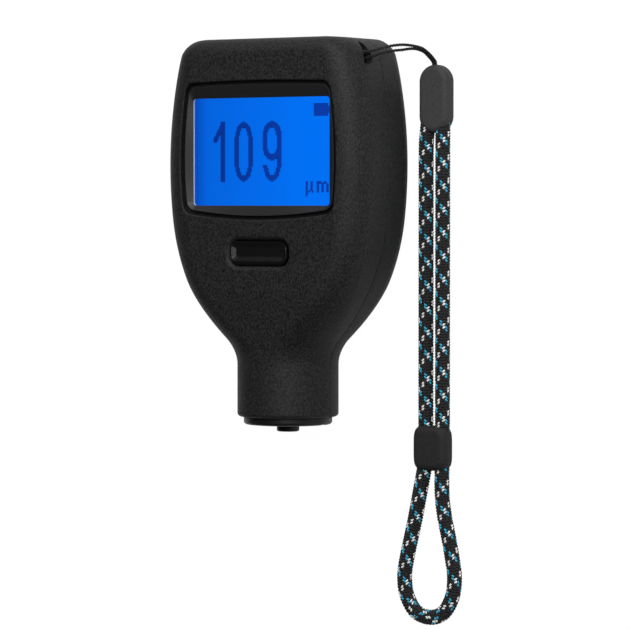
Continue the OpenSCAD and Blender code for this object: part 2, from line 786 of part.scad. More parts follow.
module button_cap() {
    color("#141415") translate([0, button_y, 0]) difference() {
        union() {
            translate([0, 0, flange_top - flange_t]) linear_extrude(button_top - flange_top + flange_t)
                round_rect(button_w, button_h, button_r);
            translate([0, 0, flange_top - flange_t]) linear_extrude(flange_t)
                round_rect(button_w + 2 * flange_out, button_h + 2 * flange_out, button_r);
            translate([0, 0, plunger_top]) cylinder(r = plunger_r - 0.2, h = flange_top - plunger_top);
        }
        hull() {
            translate([0, 0, button_top - dish_depth]) linear_extrude(0.01)
                round_rect(button_w - 3.2, button_h - 2.8, button_r - 1.2);
            translate([0, 0, button_top]) linear_extrude(0.5)
                round_rect(button_w - 1, button_h - 1, button_r - 0.4);
        }
    }
}

module tact_switch() {
    color("#2a2a2a") difference() {
        bar(0, button_y - switch_w / 2, board_top, [switch_w, switch_w, switch_h]);
        translate([0, button_y, board_top + 1]) cylinder(r = plunger_r + fit_gap, h = switch_h);
    }
}

module switch_plunger() {
    color("#b8412f") translate([0, button_y, board_top + 1.2 + button_travel])
        cylinder(r = plunger_r, h = plunger_top - board_top - 1.2 - button_travel);
}

module nose_ring() {
    edge = 0.8;
    r = ring_d / 2;
    hole_r = tip_r + tip_gap;
    pocket_r = spigot_r - groove_in - 1.2;
    color(trim_black) difference() {
        turned(concat(
            [[hole_r, y_face]],
            arc([r - edge, y_face + edge], edge, -90, 0, 6),
            [
                [r, y_lip], [spigot_r, y_lip], [spigot_r, groove_y0], [spigot_r - groove_in, groove_y0],
                [spigot_r - groove_in, groove_y1], [spigot_r, groove_y1], [spigot_r, y_spigot],
                [pocket_r, y_spigot], [pocket_r, y_lip + 1], [chamber_r + guide_wall, y_lip + 1],
                [chamber_r + guide_wall, y_guide], [chamber_r, y_guide], [chamber_r, y_stop], [hole_r, y_stop]
            ]
        ));
        translate([0, y_face, mid_z]) rotate([0, 90, 0]) linear_extrude(ring_d + 2, center = true)
            polygon([[-bar_groove_w / 2, -0.1], [bar_groove_w / 2, -0.1], [0, bar_groove_depth]]);
    }
}

module probe_plunger() {
    edge = 0.35;
    y_flange = y_stop + 0.02;
    color(trim_black) turned(concat(
        [[core_r + fit_gap, y_tip]],
        arc([tip_r - edge, y_tip + edge], edge, -90, 0, 5),
        [
            [tip_r, y_flange], [flange_r, y_flange], [flange_r, y_flange + plunger_flange_t],
            [tip_r, y_flange + plunger_flange_t], [tip_r, y_sleeve], [sleeve_r, y_sleeve],
            [sleeve_r, y_tip + sleeve_front], [core_r + fit_gap, y_tip + sleeve_front]
        ]
    ));
}

module probe_core() {
    dome = 0.25;
    head = sleeve_r - fit_gap;
    y_head = y_coil + coil_len + 0.1;
    color(metal) turned([
        [0, y_tip], [core_r * 0.5, y_tip + dome * 0.25], [core_r * 0.85, y_tip + dome * 0.65],
        [core_r, y_tip + dome], [core_r, y_head], [head, y_head], [head, y_head + 1], [0, y_head + 1]
    ]);
}

module probe_coil() {
    r_in = core_r + fit_gap;
    r_out = sleeve_r - fit_gap;
    color("#b5672c") turned([
        [r_in, y_coil], [r_out, y_coil], [r_out, y_coil + coil_len], [r_in, y_coil + coil_len]
    ]);
}

module probe_spring() {
    r = spring_wire / 2;
    y0 = y_stop + plunger_flange_t + r + fit_gap;
    color(spring_steel)
        swept(coil_route(0, mid_z, y0, y_seat - r - fit_gap, spring_r, spring_r, spring_turns), r, 6);
}

module probe_cap() {
    r_in = tip_r + tip_gap;
    r_out = chamber_r - fit_gap / 2;
    color("#d8d5cc") turned([[r_in, y_seat], [r_out, y_seat], [r_out, y_guide], [r_in, y_guide]]);
}

module probe_lead() {
    y0 = connector_y - 1;
    z0 = board_z - connector_h / 2;
    y1 = y_sleeve - 2;
    gap = y0 - y1;
    color("#8c2f2b") swept([
        [0, y0, z0], [0, y0 - 2, z0], [0.6, y0 - 4.5, z0], [1.2, y0 - gap * 0.4, (z0 + mid_z) / 2],
        [0.8, y0 - gap * 0.6, mid_z], [0, y1 + 5, mid_z], [0, y1 + 2.5, mid_z], [0, y1, mid_z]
    ], lead_r);
}

// A cell with its button at the upper end
module cell() {
    r = cell_d / 2;
    edge = 0.6;
    body = cell_len - nub_len;
    rotate_extrude() polygon(concat(
        [[0, 0]],
        arc([r - edge, edge], edge, -90, 0, 4),
        arc([r - edge, body - edge], edge, 0, 90, 4),
        [[nub_r, body], [nub_r, cell_len], [0, cell_len]]
    ));
}

module battery_1() {
    color("#3f4347") translate([-cell_x, bay_y1 - contact_t - cell_len, cell_z]) rotate([-90, 0, 0]) cell();
}

module battery_2() {
    color("#3f4347") translate([cell_x, bay_y0 + contact_t + cell_len, cell_z]) rotate([90, 0, 0]) cell();
}

// Contact plate against a bay end wall
module contact_plate(x, y, w) {
    bar(x, y, cell_z - plate_h / 2, [w, contact_t, plate_h]);
}

// Conical spring from a plate to the flat end of a cell
module contact_coil(x, y0, y1) {
    s = sign(y1 - y0);
    r = contact_wire / 2;
    swept(coil_route(x, cell_z, y0 + s * r * 0.6, y1 - s * (r + fit_gap), 3.3, 2, 3), r, 6);
}

module contact_bridge() {
    color(metal) union() {
        contact_plate(0, bay_y0, 2 * cell_x + plate_w);
        contact_coil(-cell_x, bay_y0 + contact_t, bay_y0 + contact_t + contact_spring);
    }
}

// Tab from a plate up to the underside of the board
module contact_tab(x) {
    bar(x, bay_y1 - contact_t, cell_z, [tab_w, contact_t, board_z - cell_z]);
}

module contact_positive() {
    color(metal) union() {
        contact_plate(-cell_x, bay_y1 - contact_t, plate_w);
        contact_tab(-cell_x);
    }
}

module contact_negative() {
    color(metal) union() {
        contact_plate(cell_x, bay_y1 - contact_t, plate_w);
        contact_tab(cell_x);
        contact_coil(cell_x, bay_y1 - contact_t, bay_y1 - contact_t - contact_spring);
    }
}

// Screw with its head down and a cross recess, the underside of the head at Z = 0
module screw(d, length, head_d, h) {
    slot = 0.25 * head_d;
    difference() {
        union() {
            cylinder(d = d, h = length);
            translate([0, 0, -h]) cylinder(d = head_d, h = h);
        }
        for (a = [0, 90]) rotate([0, 0, a]) bar(0, -0.35 * head_d, -h - 1, [slot, 0.7 * head_d, 1 + h / 2]);
    }
}

module case_screws() {
    color(spring_steel) for (p = screw_places)
        translate([p[0], p[1], head_z + head_h]) screw(screw_d, screw_len, screw_head_d, head_h);
}

module board_screws() {
    color(spring_steel) for (p = board_posts)
        translate([p[0], p[1], board_z]) screw(board_screw_d, board_screw_len, board_post_d - 0.8, board_head_h);
}

module strap_loop() {
    color("#111112") swept(loop_route, loop_d / 2, cord_sides);
}

// Clip outline with round ends, and the pockets that hold the cord ends
module clip_half() {
    edge = 1.6;
    r = clip_w / 2 - 0.1;
    difference() {
        translate([strap_x, clip_y, 0]) hull() {
            for (a = [0 : 22.5 : 90]) let (inset = edge * (1 - sin(a)))
                translate([0, 0, edge * (1 - cos(a))]) linear_extrude(a < 90 ? 0.01 : strap_z - edge)
                    round_rect(clip_w - 2 * inset, clip_len - 2 * inset, r - inset);
        }
        for (s = [-1, 1]) {
            translate([strap_x + s * cord_pitch / 2, clip_end_y - 1, strap_z]) rotate([-90, 0, 0])
                cylinder(r = cord_d / 2 + socket_gap, h = socket_len + 1);
            translate([strap_x + s * loop_pitch / 2, clip_top_y + 1, strap_z]) rotate([90, 0, 0])
                cylinder(r = loop_d / 2 + socket_gap, h = socket_len + 1);
        }
    }
}

module strap_clip_back() {
    color("#46474a") clip_half();
}

module strap_clip_front() {
    color("#46474a") translate([0, 0, clip_t]) mirror([0, 0, 1]) clip_half();
}

module strap_cord() {
    color("#17181a") swept(cord_route, cord_d / 2, cord_sides);
}

// Slider: rounded block with bowed ends and two holes for the cords
module strap_slider() {
    edge = 1.8;
    color("#2e2f31") difference() {
        translate([strap_x, slider_y, 0]) intersection() {
            linear_extrude(slider_t) barrel(slider_w, slider_len, slider_power);
            translate([0, slider_len, slider_t / 2]) rotate([90, 0, 0]) linear_extrude(2 * slider_len)
                round_rect(slider_w, slider_t, edge);
        }
        for (s = [-1, 1])
            translate([strap_x + s * cord_pitch / 2, slider_y + slider_len, strap_z]) rotate([90, 0, 0])
                cylinder(r = cord_d / 2 + slider_gap, h = 2 * slider_len);
    }
}

front_shell();
rear_shell();
battery_cover();
display_bezel();
display_lens();
lcd_glass();
backlight();
elastomer_strips();
main_board();
board_parts();
controller_chip();
radio_module();
board_connector();
button_cap();
tact_switch();
switch_plunger();
nose_ring();
probe_plunger();
probe_core();
probe_coil();
probe_spring();
probe_cap();
probe_lead();
battery_1();
battery_2();
contact_bridge();
contact_positive();
contact_negative();
case_screws();
board_screws();
strap_loop();
strap_clip_front();
strap_clip_back();
strap_cord();
strap_slider();
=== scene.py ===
# %% [markdown]
# # A coating thickness gauge
# This pocket gauge measures paint: a moulded black housing, a lit display, one key, a sprung probe
# and a wrist strap. It lies on its back, with X across the display, Y towards the top end and Z out
# of the display. The CAD parts are the fixed frame, and each piece here is drawn where they are.

import math

import bmesh
import bpy
from mathutils import Matrix, Vector


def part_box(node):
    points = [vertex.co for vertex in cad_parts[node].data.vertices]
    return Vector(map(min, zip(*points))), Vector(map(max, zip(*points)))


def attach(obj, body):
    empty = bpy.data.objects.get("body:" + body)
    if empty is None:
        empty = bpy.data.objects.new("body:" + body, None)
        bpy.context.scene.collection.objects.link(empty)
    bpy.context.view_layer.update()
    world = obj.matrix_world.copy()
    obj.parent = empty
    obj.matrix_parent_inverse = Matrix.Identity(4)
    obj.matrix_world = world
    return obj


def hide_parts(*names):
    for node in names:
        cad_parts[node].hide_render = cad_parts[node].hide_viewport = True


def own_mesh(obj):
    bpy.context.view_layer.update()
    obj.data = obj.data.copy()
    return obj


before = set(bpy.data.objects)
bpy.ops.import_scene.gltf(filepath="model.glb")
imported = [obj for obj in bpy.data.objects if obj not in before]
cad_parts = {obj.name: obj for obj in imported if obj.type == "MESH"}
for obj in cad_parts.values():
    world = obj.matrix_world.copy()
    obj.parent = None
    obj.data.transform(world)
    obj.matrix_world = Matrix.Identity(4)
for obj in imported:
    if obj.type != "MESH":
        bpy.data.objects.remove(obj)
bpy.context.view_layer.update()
scene = bpy.context.scene

# %% [markdown]
# ## Working in millimetres
# The frame is in metres, but a maker thinks of this object in millimetres. Shapes are drawn in
# millimetres, which also keeps Boolean cuts exact, and are brought to metres when they are finished.
# The tube is drawn a little longer than in the CAD and the top end a little lower, as the photo shows.

# %% Sizes read from the frame
MM = 0.001
TUBE_LONGER, TOP_LOWER = 0.7, 0.2


def box_mm(node):
    low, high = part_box(node)
    return low / MM, high / MM


shell_low, shell_high = box_mm("front_shell")
HALF_W = shell_high.x
Y_LIP = shell_low.y - TUBE_LONGER
Y_TOP = shell_high.y - TOP_LOWER
MID_Z = shell_low.z
DEPTH = shell_high.z
print(f"housing: {2 * HALF_W:.1f} wide, {DEPTH:.1f} deep, from Y {Y_LIP:.1f} to Y {Y_TOP:.1f}")

# %% [markdown]
# ## The camera
# The photo was taken from the right with a long lens, so the edges hardly converge. The place was
# found by fitting the outline of the housing: 33 degrees round the probe axis, 860 mm away. The
# camera is aimed at the middle of the picture, which lies below and to the right of the gauge.

# %% Camera
IMAGE = 630
CAMERA_TURN = math.radians(33.2)
CAMERA_DISTANCE = 860
CAMERA_Y = 7.8
FOCAL_PIXELS = 3343
AXIS_PIXEL = (288, 204.8)
SENSOR = 36
SEES_TO = 20

along_y = Vector((0, 1, 0))
away = Vector((math.sin(CAMERA_TURN), 0, math.cos(CAMERA_TURN)))
across = Vector((math.cos(CAMERA_TURN), 0, -math.sin(CAMERA_TURN)))
aim_right = (IMAGE / 2 - AXIS_PIXEL[0]) / FOCAL_PIXELS
aim_down = (IMAGE / 2 - AXIS_PIXEL[1]) / FOCAL_PIXELS
backward = (away - aim_right * across + aim_down * along_y).normalized()
rightward = along_y.cross(backward).normalized()
upward = backward.cross(rightward)
camera_place = Vector((0, CAMERA_Y, MID_Z)) + CAMERA_DISTANCE * away
camera_turn = Matrix((rightward, upward, backward)).transposed().to_4x4()

camera = bpy.data.objects.new("camera", bpy.data.cameras.new("camera"))
scene.collection.objects.link(camera)
camera.matrix_world = Matrix.Translation(camera_place * MM) @ camera_turn
camera.data.sensor_width = SENSOR
camera.data.lens = FOCAL_PIXELS / IMAGE * SENSOR
camera.data.clip_end = SEES_TO
scene.camera = camera
print(f"camera: {camera.data.lens:.0f} mm lens, {CAMERA_DISTANCE} mm from the probe axis")

# %% [markdown]
# ## Nodes and colours
# Every material and every node tree is made by one function that adds a node, sets what it is given
# and links what comes from another node. Colours are written as they look on screen, in sRGB, and
# turned into the linear values that Blender works with. A surface is never of one even colour, so most
# materials mix a dark and a light tone by a noise whose grain has a size in millimetres.

# %% Node and colour helpers
MATH, VECTOR = "ShaderNodeMath", "ShaderNodeVectorMath"
DARK_AT, LIGHT_AT = 0.35, 0.65
GRAIN_DETAIL = 3


def linear(colour):
    parts = [int(colour[k:k + 2], 16) / 255 for k in (1, 3, 5)]
    return [p / 12.92 if p <= 0.04045 else ((p + 0.055) / 1.055) ** 2.4 for p in parts] + [1]


def add(tree, kind, inputs=None, stops=(), **settings):
    """Adds a node. A node given as an input is linked by its first output, and stops are for a ramp."""
    made = tree.nodes.new(kind)
    for name, value in settings.items():
        setattr(made, name, value)
    for name, value in (inputs or {}).items():
        if isinstance(value, bpy.types.Node):
            value = value.outputs[0]
        if isinstance(value, bpy.types.NodeSocket):
            tree.links.new(value, made.inputs[name])
        else:
            made.inputs[name].default_value = value
    for k, (position, colour) in enumerate(stops):
        ramp = made.color_ramp.elements
        stop = ramp[k] if k < 2 else ramp.new(position)
        stop.position = position
        stop.color = linear(colour)
    return made


def start_material(name):
    made = bpy.data.materials.new(name)
    made.use_nodes = True
    made.node_tree.nodes.clear()
    return made, made.node_tree


def grain_field(tree, size, stretch=(1, 1, 1)):
    """Noise with features of that size in millimetres, drawn out along an axis by stretch."""
    spot = add(tree, "ShaderNodeTexCoord").outputs["Object"]
    drawn_out = add(tree, "ShaderNodeMapping", {"Vector": spot, "Scale": [1 / s for s in stretch]})
    return add(tree, "ShaderNodeTexNoise", {
        "Vector": drawn_out, "Scale": 1 / (size * MM), "Detail": GRAIN_DETAIL,
    })


# %% [markdown]
# ## Finishing a piece
# A piece is drawn as a bmesh in millimetres. When it is done it is brought to metres, shaded smooth
# except at its sharp edges, given its material, and set on the body that carries it, in place of the
# plain CAD node.

# %% Finishing helpers


def draw(name, bm):
    mesh = bpy.data.meshes.new(name)
    bmesh.ops.recalc_face_normals(bm, faces=bm.faces)
    if bm.calc_volume(signed=True) < 0:
        bmesh.ops.reverse_faces(bm, faces=bm.faces)
    bm.to_mesh(mesh)
    bm.free()
    made = bpy.data.objects.new(name, mesh)
    scene.collection.objects.link(made)
    return made


def baked(piece):
    """The piece with its modifiers applied, as a plain mesh."""
    bpy.context.view_layer.update()
    seen = piece.evaluated_get(bpy.context.evaluated_depsgraph_get())
    mesh = bpy.data.meshes.new_from_object(seen)
    name = piece.name
    bpy.data.objects.remove(piece)
    made = bpy.data.objects.new(name, mesh)
    scene.collection.objects.link(made)
    return made


def combine(piece, tool, operation):
    """One exact Boolean, after which the tool is gone."""
    step = piece.modifiers.new("combine", "BOOLEAN")
    step.operation = operation
    step.solver = "EXACT"
    step.object = tool
    made = baked(piece)
    bpy.data.objects.remove(tool)
    return made


def settle(piece, body, material, replaced=(), sharp=35, in_mm=True):
    """Brings a piece to metres, shades it and sets it on its body."""
    if in_mm:
        piece.data.transform(Matrix.Scale(MM, 4))
    piece.data.shade_smooth()
    piece.data.set_sharp_from_angle(angle=math.radians(sharp))
    if material is not None:
        piece.data.materials.clear()
        piece.data.materials.append(material)
    weights = piece.modifiers.new("weights", "WEIGHTED_NORMAL")
    weights.keep_sharp = True
    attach(piece, body)
    if replaced:
        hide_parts(*replaced)
    print(f"{piece.name}: {len(piece.data.polygons)} faces")


# %% [markdown]
# ## Basic forms
# Nearly every piece is a loft: closed rings of points, joined one after the other. The rings come from
# arcs, so a round stretch is written as a centre, a radius and two angles.

# %% Lofts, rods and arcs


def loft(rings, capped=True):
    """Rings joined in turn, with flat ends, or with the last ring joined to the first."""
    bm = bmesh.new()
    rows = [[bm.verts.new(p) for p in ring] for ring in rings]
    count = len(rings[0])
    pairs = list(zip(rows, rows[1:]))
    if not capped:
        pairs.append((rows[-1], rows[0]))
    for a, b in pairs:
        for k in range(count):
            bm.faces.new((a[k], a[(k + 1) % count], b[(k + 1) % count], b[k]))
    if capped:
        bm.faces.new(reversed(rows[0]))
        bm.faces.new(rows[-1])
    return bm


def rod(r, start, end, sides=48):
    """A cylinder between two points."""
    bm = bmesh.new()
    start, end = Vector(start), Vector(end)
    length = (end - start).length
    bmesh.ops.create_cone(bm, cap_ends=True, segments=sides, radius1=r, radius2=r, depth=length)
    turn = (end - start).to_track_quat("Z", "Y").to_matrix().to_4x4()
    bmesh.ops.transform(bm, matrix=Matrix.Translation((start + end) / 2) @ turn, verts=bm.verts)
    return bm


def gather(*parts):
    """Several separate solids as one tool."""
    bm = bmesh.new()
    for part in parts:
        mesh = bpy.data.meshes.new("part")
        part.to_mesh(mesh)
        part.free()
        bm.from_mesh(mesh)
        bpy.data.meshes.remove(mesh)
    return draw("tool", bm)


def quarter(centre, r, start, end, steps):
    """Points of an arc, with angles in degrees."""
    angles = [math.radians(start + (end - start) * k / steps) for k in range(steps + 1)]
    return [(centre[0] + r * math.cos(a), centre[1] + r * math.sin(a)) for a in angles]


def rounded(w, h, r, steps=8):
    """A rectangle with round corners, as points in a plane."""
    x, y = w / 2 - r, h / 2 - r
    corners = [(x, y, 0), (-x, y, 90), (-x, -y, 180), (x, -y, 270)]
    return [p for cx, cy, a in corners for p in quarter((cx, cy), r, a, a + 90, steps)]


# %% [markdown]
# ## Yarns
# The strap is braided from polyester yarn: most of it black, with two white and two blue carriers.
# Polyester filament is soft and matt with a slight sheen, and its fine filaments run along each
# stitch. They are far too fine to show, so they are drawn about ten times as coarse, as a ripple.

# %% Yarn materials
RIPPLE, RIPPLE_RELIEF = 0.18, 0.06


def yarn(name, dark, light, roughness):
    made, tree = start_material(name)
    strands = grain_field(tree, RIPPLE)
    shader = add(tree, "ShaderNodeBsdfPrincipled", {
        "Base Color": add(tree, "ShaderNodeValToRGB", {"Fac": strands}, ((DARK_AT, dark), (LIGHT_AT, light))),
        "Roughness": roughness,
        "Specular IOR Level": 0.25,
        "Sheen Weight": 0.08,
        "Sheen Roughness": 0.5,
        "Normal": add(tree, "ShaderNodeBump", {
            "Height": strands, "Distance": RIPPLE_RELIEF * MM, "Strength": 1.0,
        }),
    })
    add(tree, "ShaderNodeOutputMaterial", {"Surface": shader})
    return made


# Dyed yarns keep their colour in the light, and black yarn shows as dark grey where it faces the lamp.
black_yarn = yarn("polyester_yarn_black", "#161516", "#2c2a2b", 0.75)
white_yarn = yarn("polyester_yarn_white", "#dcdcda", "#f6f6f4", 0.7)
blue_yarn = yarn("polyester_yarn_blue", "#1c84a8", "#48c0e0", 0.7)
# The thin cord is laid tightly, so it is a little darker and smoother than the braid.
cord_black = yarn("polyester_cord_black", "#0f0f10", "#222224", 0.7)
print("yarns:", black_yarn.name, white_yarn.name, blue_yarn.name, cord_black.name)

# %% [markdown]
# ## Following a path
# A cord is drawn along a smooth line through a few points that were chosen on the photo.
# Geometry Nodes then dress that line, and their result is made a plain mesh.

# %% Route and tree helpers


def smooth_route(route, steps):
    """A smooth line through every point of a route, in metres."""
    points = [Vector(p) * MM for p in route]
    line = []
    for k in range(len(points) - 1):
        a, b = points[k], points[k + 1]
        tangent_a = (b - points[max(k - 1, 0)]) / 2
        tangent_b = (points[min(k + 2, len(points) - 1)] - a) / 2
        for i in range(steps):
            t = i / steps
            line.append(
                a * (2 * t**3 - 3 * t**2 + 1) + tangent_a * (t**3 - 2 * t**2 + t)
                + b * (3 * t**2 - 2 * t**3) + tangent_b * (t**3 - t**2)
            )
    return line + [points[-1]]


def route_length(line):
    return sum((b - a).length for a, b in zip(line, line[1:]))


def wire(name, line):
    """A curve of one open spline along a line."""
    curve = bpy.data.curves.new(name, "CURVE")
    curve.dimensions = "3D"
    spline = curve.splines.new("POLY")
    spline.points.add(len(line) - 1)
    for point, p in zip(spline.points, line):
        point.co = (*p, 1)
    made = bpy.data.objects.new(name, curve)
    scene.collection.objects.link(made)
    return made


def start_tree(name, sizes):
    """A Geometry Nodes tree with a geometry input and named sizes."""
    tree = bpy.data.node_groups.new(name, "GeometryNodeTree")
    tree.interface.new_socket("Geometry", in_out="INPUT", socket_type="NodeSocketGeometry")
    tree.interface.new_socket("Geometry", in_out="OUTPUT", socket_type="NodeSocketGeometry")
    for size in sizes:
        tree.interface.new_socket(size, in_out="INPUT", socket_type="NodeSocketFloat")
    return tree, add(tree, "NodeGroupInput").outputs


def end_tree(tree, geometry):
    """Realises what was instanced and sends it out."""
    real = add(tree, "GeometryNodeRealizeInstances", {"Geometry": geometry})
    add(tree, "NodeGroupOutput", {"Geometry": real})


def run_tree(piece, tree, sizes):
    """Runs a tree on a piece with its sizes set by identifier, and makes the result a plain mesh."""
    step = piece.modifiers.new("nodes", "NODES")
    step.node_group = tree
    for item in tree.interface.items_tree:
        if item.in_out == "INPUT" and item.name in sizes:
            step[item.identifier] = float(sizes[item.name])
    return baked(piece)


# %% [markdown]
# ## The thin loop
# A thin cord joins the strap to the housing: out of the clip, through the slot in the corner, round
# a post inside and back. It is laid from three plies, so a section of three lobes is carried along the
# route and turned as it goes. Geometry Nodes do that with a tilt that grows with the length.

# %% Thin loop
LOOP_D = 0.85
LOOP_LAY = 2.6
LOOP_STEP = 0.25
LOBE_VALLEY = 0.74
LOOP_ROUTE = [
    (37.18, 40.5, 2.3), (37.18, 43.5, 2.3), (37.2, 44.4, 3), (37.1, 45.8, 5.2), (36.8, 47.15, 8.2),
    (36.1, 47.7, 11.2), (35.2, 47.9, 14.4), (34.15, 47.75, 16.6), (32.9, 47.4, 18.4), (31.05, 46.9, 19.6),
    (29, 46.4, 20), (26.6, 46.2, 20), (25, 46.2, 20), (23.9, 46.6, 19.8), (22.8, 47.1, 19.6),
    (21.6, 46.6, 19.5), (21.1, 45.4, 19.4), (21.6, 44.2, 19.3), (22.8, 43.7, 19.2), (24.2, 44, 19),
    (25.2, 44.4, 18.9), (26.6, 44.8, 18.8), (28.8, 45.2, 18.7), (31.4, 45.95, 18.2), (33.35, 46.4, 16.5),
    (34.4, 46.65, 14.2), (34.95, 46.95, 12.1), (35.55, 47.05, 9.6), (36.25, 46.45, 6.9), (36.48, 45.2, 4.6),
    (36.45, 44.3, 3), (36.42, 43.5, 2.3), (36.42, 40.5, 2.3),
]

laid_cord, sizes = start_tree("laid_cord", ["Radius", "Lay", "Step"])
along = add(laid_cord, "GeometryNodeSplineParameter").outputs["Length"]
lays = add(laid_cord, MATH, {0: along, 1: sizes["Lay"]}, operation="DIVIDE")
twist = add(laid_cord, MATH, {0: lays, 1: math.tau}, operation="MULTIPLY")
even = add(laid_cord, "GeometryNodeResampleCurve", {
    "Curve": sizes["Geometry"], "Length": sizes["Step"],
}, mode="LENGTH")
tilted = add(laid_cord, "GeometryNodeSetCurveTilt", {"Curve": even, "Tilt": twist})
valley = add(laid_cord, MATH, {0: sizes["Radius"], 1: LOBE_VALLEY}, operation="MULTIPLY")
lobes = add(laid_cord, "GeometryNodeCurveStar", {
    "Points": 3, "Outer Radius": sizes["Radius"], "Inner Radius": valley,
})
skin = add(laid_cord, "GeometryNodeCurveToMesh", {"Curve": tilted, "Profile Curve": lobes, "Fill Caps": True})
end_tree(laid_cord, add(laid_cord, "GeometryNodeSetMaterial", {"Geometry": skin, "Material": cord_black}))

loop_line = smooth_route(LOOP_ROUTE, 8)
thin_loop = run_tree(wire("thin_loop", loop_line), laid_cord, {
    "Radius": LOOP_D / 2 * MM, "Lay": LOOP_LAY * MM, "Step": LOOP_STEP * MM,
})
settle(thin_loop, "housing", None, ["strap_loop"], sharp=80, in_mm=False)
print(f"thin loop: {route_length(loop_line) / MM:.0f} mm long")

# %% [markdown]
# ## The braided cord
# The wrist cord is a plain braid of sixteen carriers, eight each way round, with two yarns in each.
# Where a carrier passes over, its two yarns show as a pair of short strokes, so the whole skin is one
# lattice: sixteen columns round the cord, with strokes that lean one way in the even columns and the
# other way in the odd ones. The index of a point gives its column and its row, and with them its place.

# %% Braid: where each stroke lies
CORD_COLUMNS = 16
WAY_CARRIERS = CORD_COLUMNS // 2
SPARE_ROWS = 9

braid, sizes = start_tree("braided_cord", [
    "Radius", "Core", "Lay", "Start", "Turn", "Stroke Length", "Stroke Width", "Stroke Height", "Lean",
])
curve = sizes["Geometry"]
whole = add(braid, "GeometryNodeCurveLength", {"Curve": curve})
whole_lays = add(braid, MATH, {0: whole, 1: sizes["Lay"]}, operation="DIVIDE")
rows = add(braid, MATH, {0: whole_lays, 1: WAY_CARRIERS, 2: 2 * SPARE_ROWS}, operation="MULTIPLY_ADD")
full_rows = add(braid, MATH, {0: rows}, operation="FLOOR")
count = add(braid, MATH, {0: full_rows, 1: 2 * CORD_COLUMNS}, operation="MULTIPLY")
points = add(braid, "GeometryNodePoints", {"Count": count})

index = add(braid, "GeometryNodeInputIndex")
ply = add(braid, MATH, {0: index, 1: 2}, operation="FLOORED_MODULO")
half_index = add(braid, MATH, {0: index, 1: 2}, operation="DIVIDE")
pair = add(braid, MATH, {0: half_index}, operation="FLOOR")
column = add(braid, MATH, {0: pair, 1: CORD_COLUMNS}, operation="FLOORED_MODULO")
rows_before = add(braid, MATH, {0: pair, 1: CORD_COLUMNS}, operation="DIVIDE")
counted_row = add(braid, MATH, {0: rows_before}, operation="FLOOR")
row = add(braid, MATH, {0: counted_row, 1: SPARE_ROWS}, operation="SUBTRACT")
odd = add(braid, MATH, {0: column, 1: 2}, operation="FLOORED_MODULO")
way = add(braid, MATH, {0: odd, 1: -2, 2: 1}, operation="MULTIPLY_ADD")

row_lays = add(braid, MATH, {0: row, 1: WAY_CARRIERS}, operation="DIVIDE")
column_lays = add(braid, MATH, {0: column, 1: CORD_COLUMNS}, operation="DIVIDE")
lays = add(braid, MATH, {0: way, 1: column_lays, 2: row_lays}, operation="MULTIPLY_ADD")
place_along = add(braid, MATH, {0: lays, 1: sizes["Lay"], 2: sizes["Start"]}, operation="MULTIPLY_ADD")
after_start = add(braid, MATH, {0: place_along, 1: 0}, operation="GREATER_THAN")
before_end = add(braid, MATH, {0: place_along, 1: whole}, operation="LESS_THAN")
on_cord = add(braid, MATH, {0: after_start, 1: before_end}, operation="MULTIPLY")
print("braid:", CORD_COLUMNS, "columns of strokes round the cord")

# %% [markdown]
# Each stroke is set on the round of the cord and turned so that it leans with its carrier. The curve gives
# a tangent and a normal at every place, and their cross product is the third direction.

# %% Braid: how each stroke is turned


def weighted(a, factor_a, b, factor_b):
    """Sum of two vectors with factors, in the braid's tree."""
    first = add(braid, VECTOR, {0: a, "Scale": factor_a}, operation="SCALE")
    second = add(braid, VECTOR, {0: b, "Scale": factor_b}, operation="SCALE")
    return add(braid, VECTOR, {0: first, 1: second}, operation="ADD")


spot = add(braid, "GeometryNodeSampleCurve", {
    "Curves": curve, "Length": place_along,
}, mode="LENGTH", use_all_curves=True)
tangent, normal = spot.outputs["Tangent"], spot.outputs["Normal"]
side = add(braid, VECTOR, {0: tangent, 1: normal}, operation="CROSS_PRODUCT")
column_turn = math.tau / CORD_COLUMNS
angle = add(braid, MATH, {0: column, 1: -column_turn, 2: sizes["Turn"]}, operation="MULTIPLY_ADD")
cosine = add(braid, MATH, {0: angle}, operation="COSINE")
sine = add(braid, MATH, {0: angle}, operation="SINE")
minus_sine = add(braid, MATH, {0: sine, 1: -1}, operation="MULTIPLY")
outward = weighted(normal, cosine, side, sine)
round_way = weighted(side, cosine, normal, minus_sine)

leaning = add(braid, MATH, {0: sizes["Lean"], 1: way}, operation="MULTIPLY")
lean = add(braid, MATH, {0: leaning, 1: -1}, operation="MULTIPLY")
lean_cosine = add(braid, MATH, {0: lean}, operation="COSINE")
lean_sine = add(braid, MATH, {0: lean}, operation="SINE")
stroke_way = weighted(tangent, lean_cosine, round_way, lean_sine)
facing = add(braid, "FunctionNodeAxesToRotation", {
    "Primary Axis": outward, "Secondary Axis": stroke_way,
}, primary_axis="Z", secondary_axis="X")

yarn_pitch = add(braid, MATH, {0: sizes["Lay"], 1: CORD_COLUMNS}, operation="DIVIDE")
from_middle = add(braid, MATH, {0: ply, 1: 0.5}, operation="SUBTRACT")
beside = add(braid, MATH, {0: from_middle, 1: yarn_pitch}, operation="MULTIPLY")
off_axis = weighted(outward, sizes["Radius"], tangent, beside)
rim = add(braid, VECTOR, {0: spot.outputs["Position"], 1: off_axis}, operation="ADD")
placed = add(braid, "GeometryNodeSetPosition", {"Geometry": points, "Position": rim})
print("braid:", len(braid.nodes), "nodes so far")

# %% [markdown]
# A row that belongs to a coloured carrier gets that colour, as a number stored on its point. A black core
# fills what is left between the strokes. A stroke is repeated thousands of times, so it has few faces.

# %% Braid: yarns and core
WHITE_CARRIER, BLUE_CARRIER, CARRIER_REPEAT = 2, 3, 4
BLACK_DYE, WHITE_DYE, BLUE_DYE = 0, 1, 2
CORE_STEP, CORE_SIDES = 1.2, 10

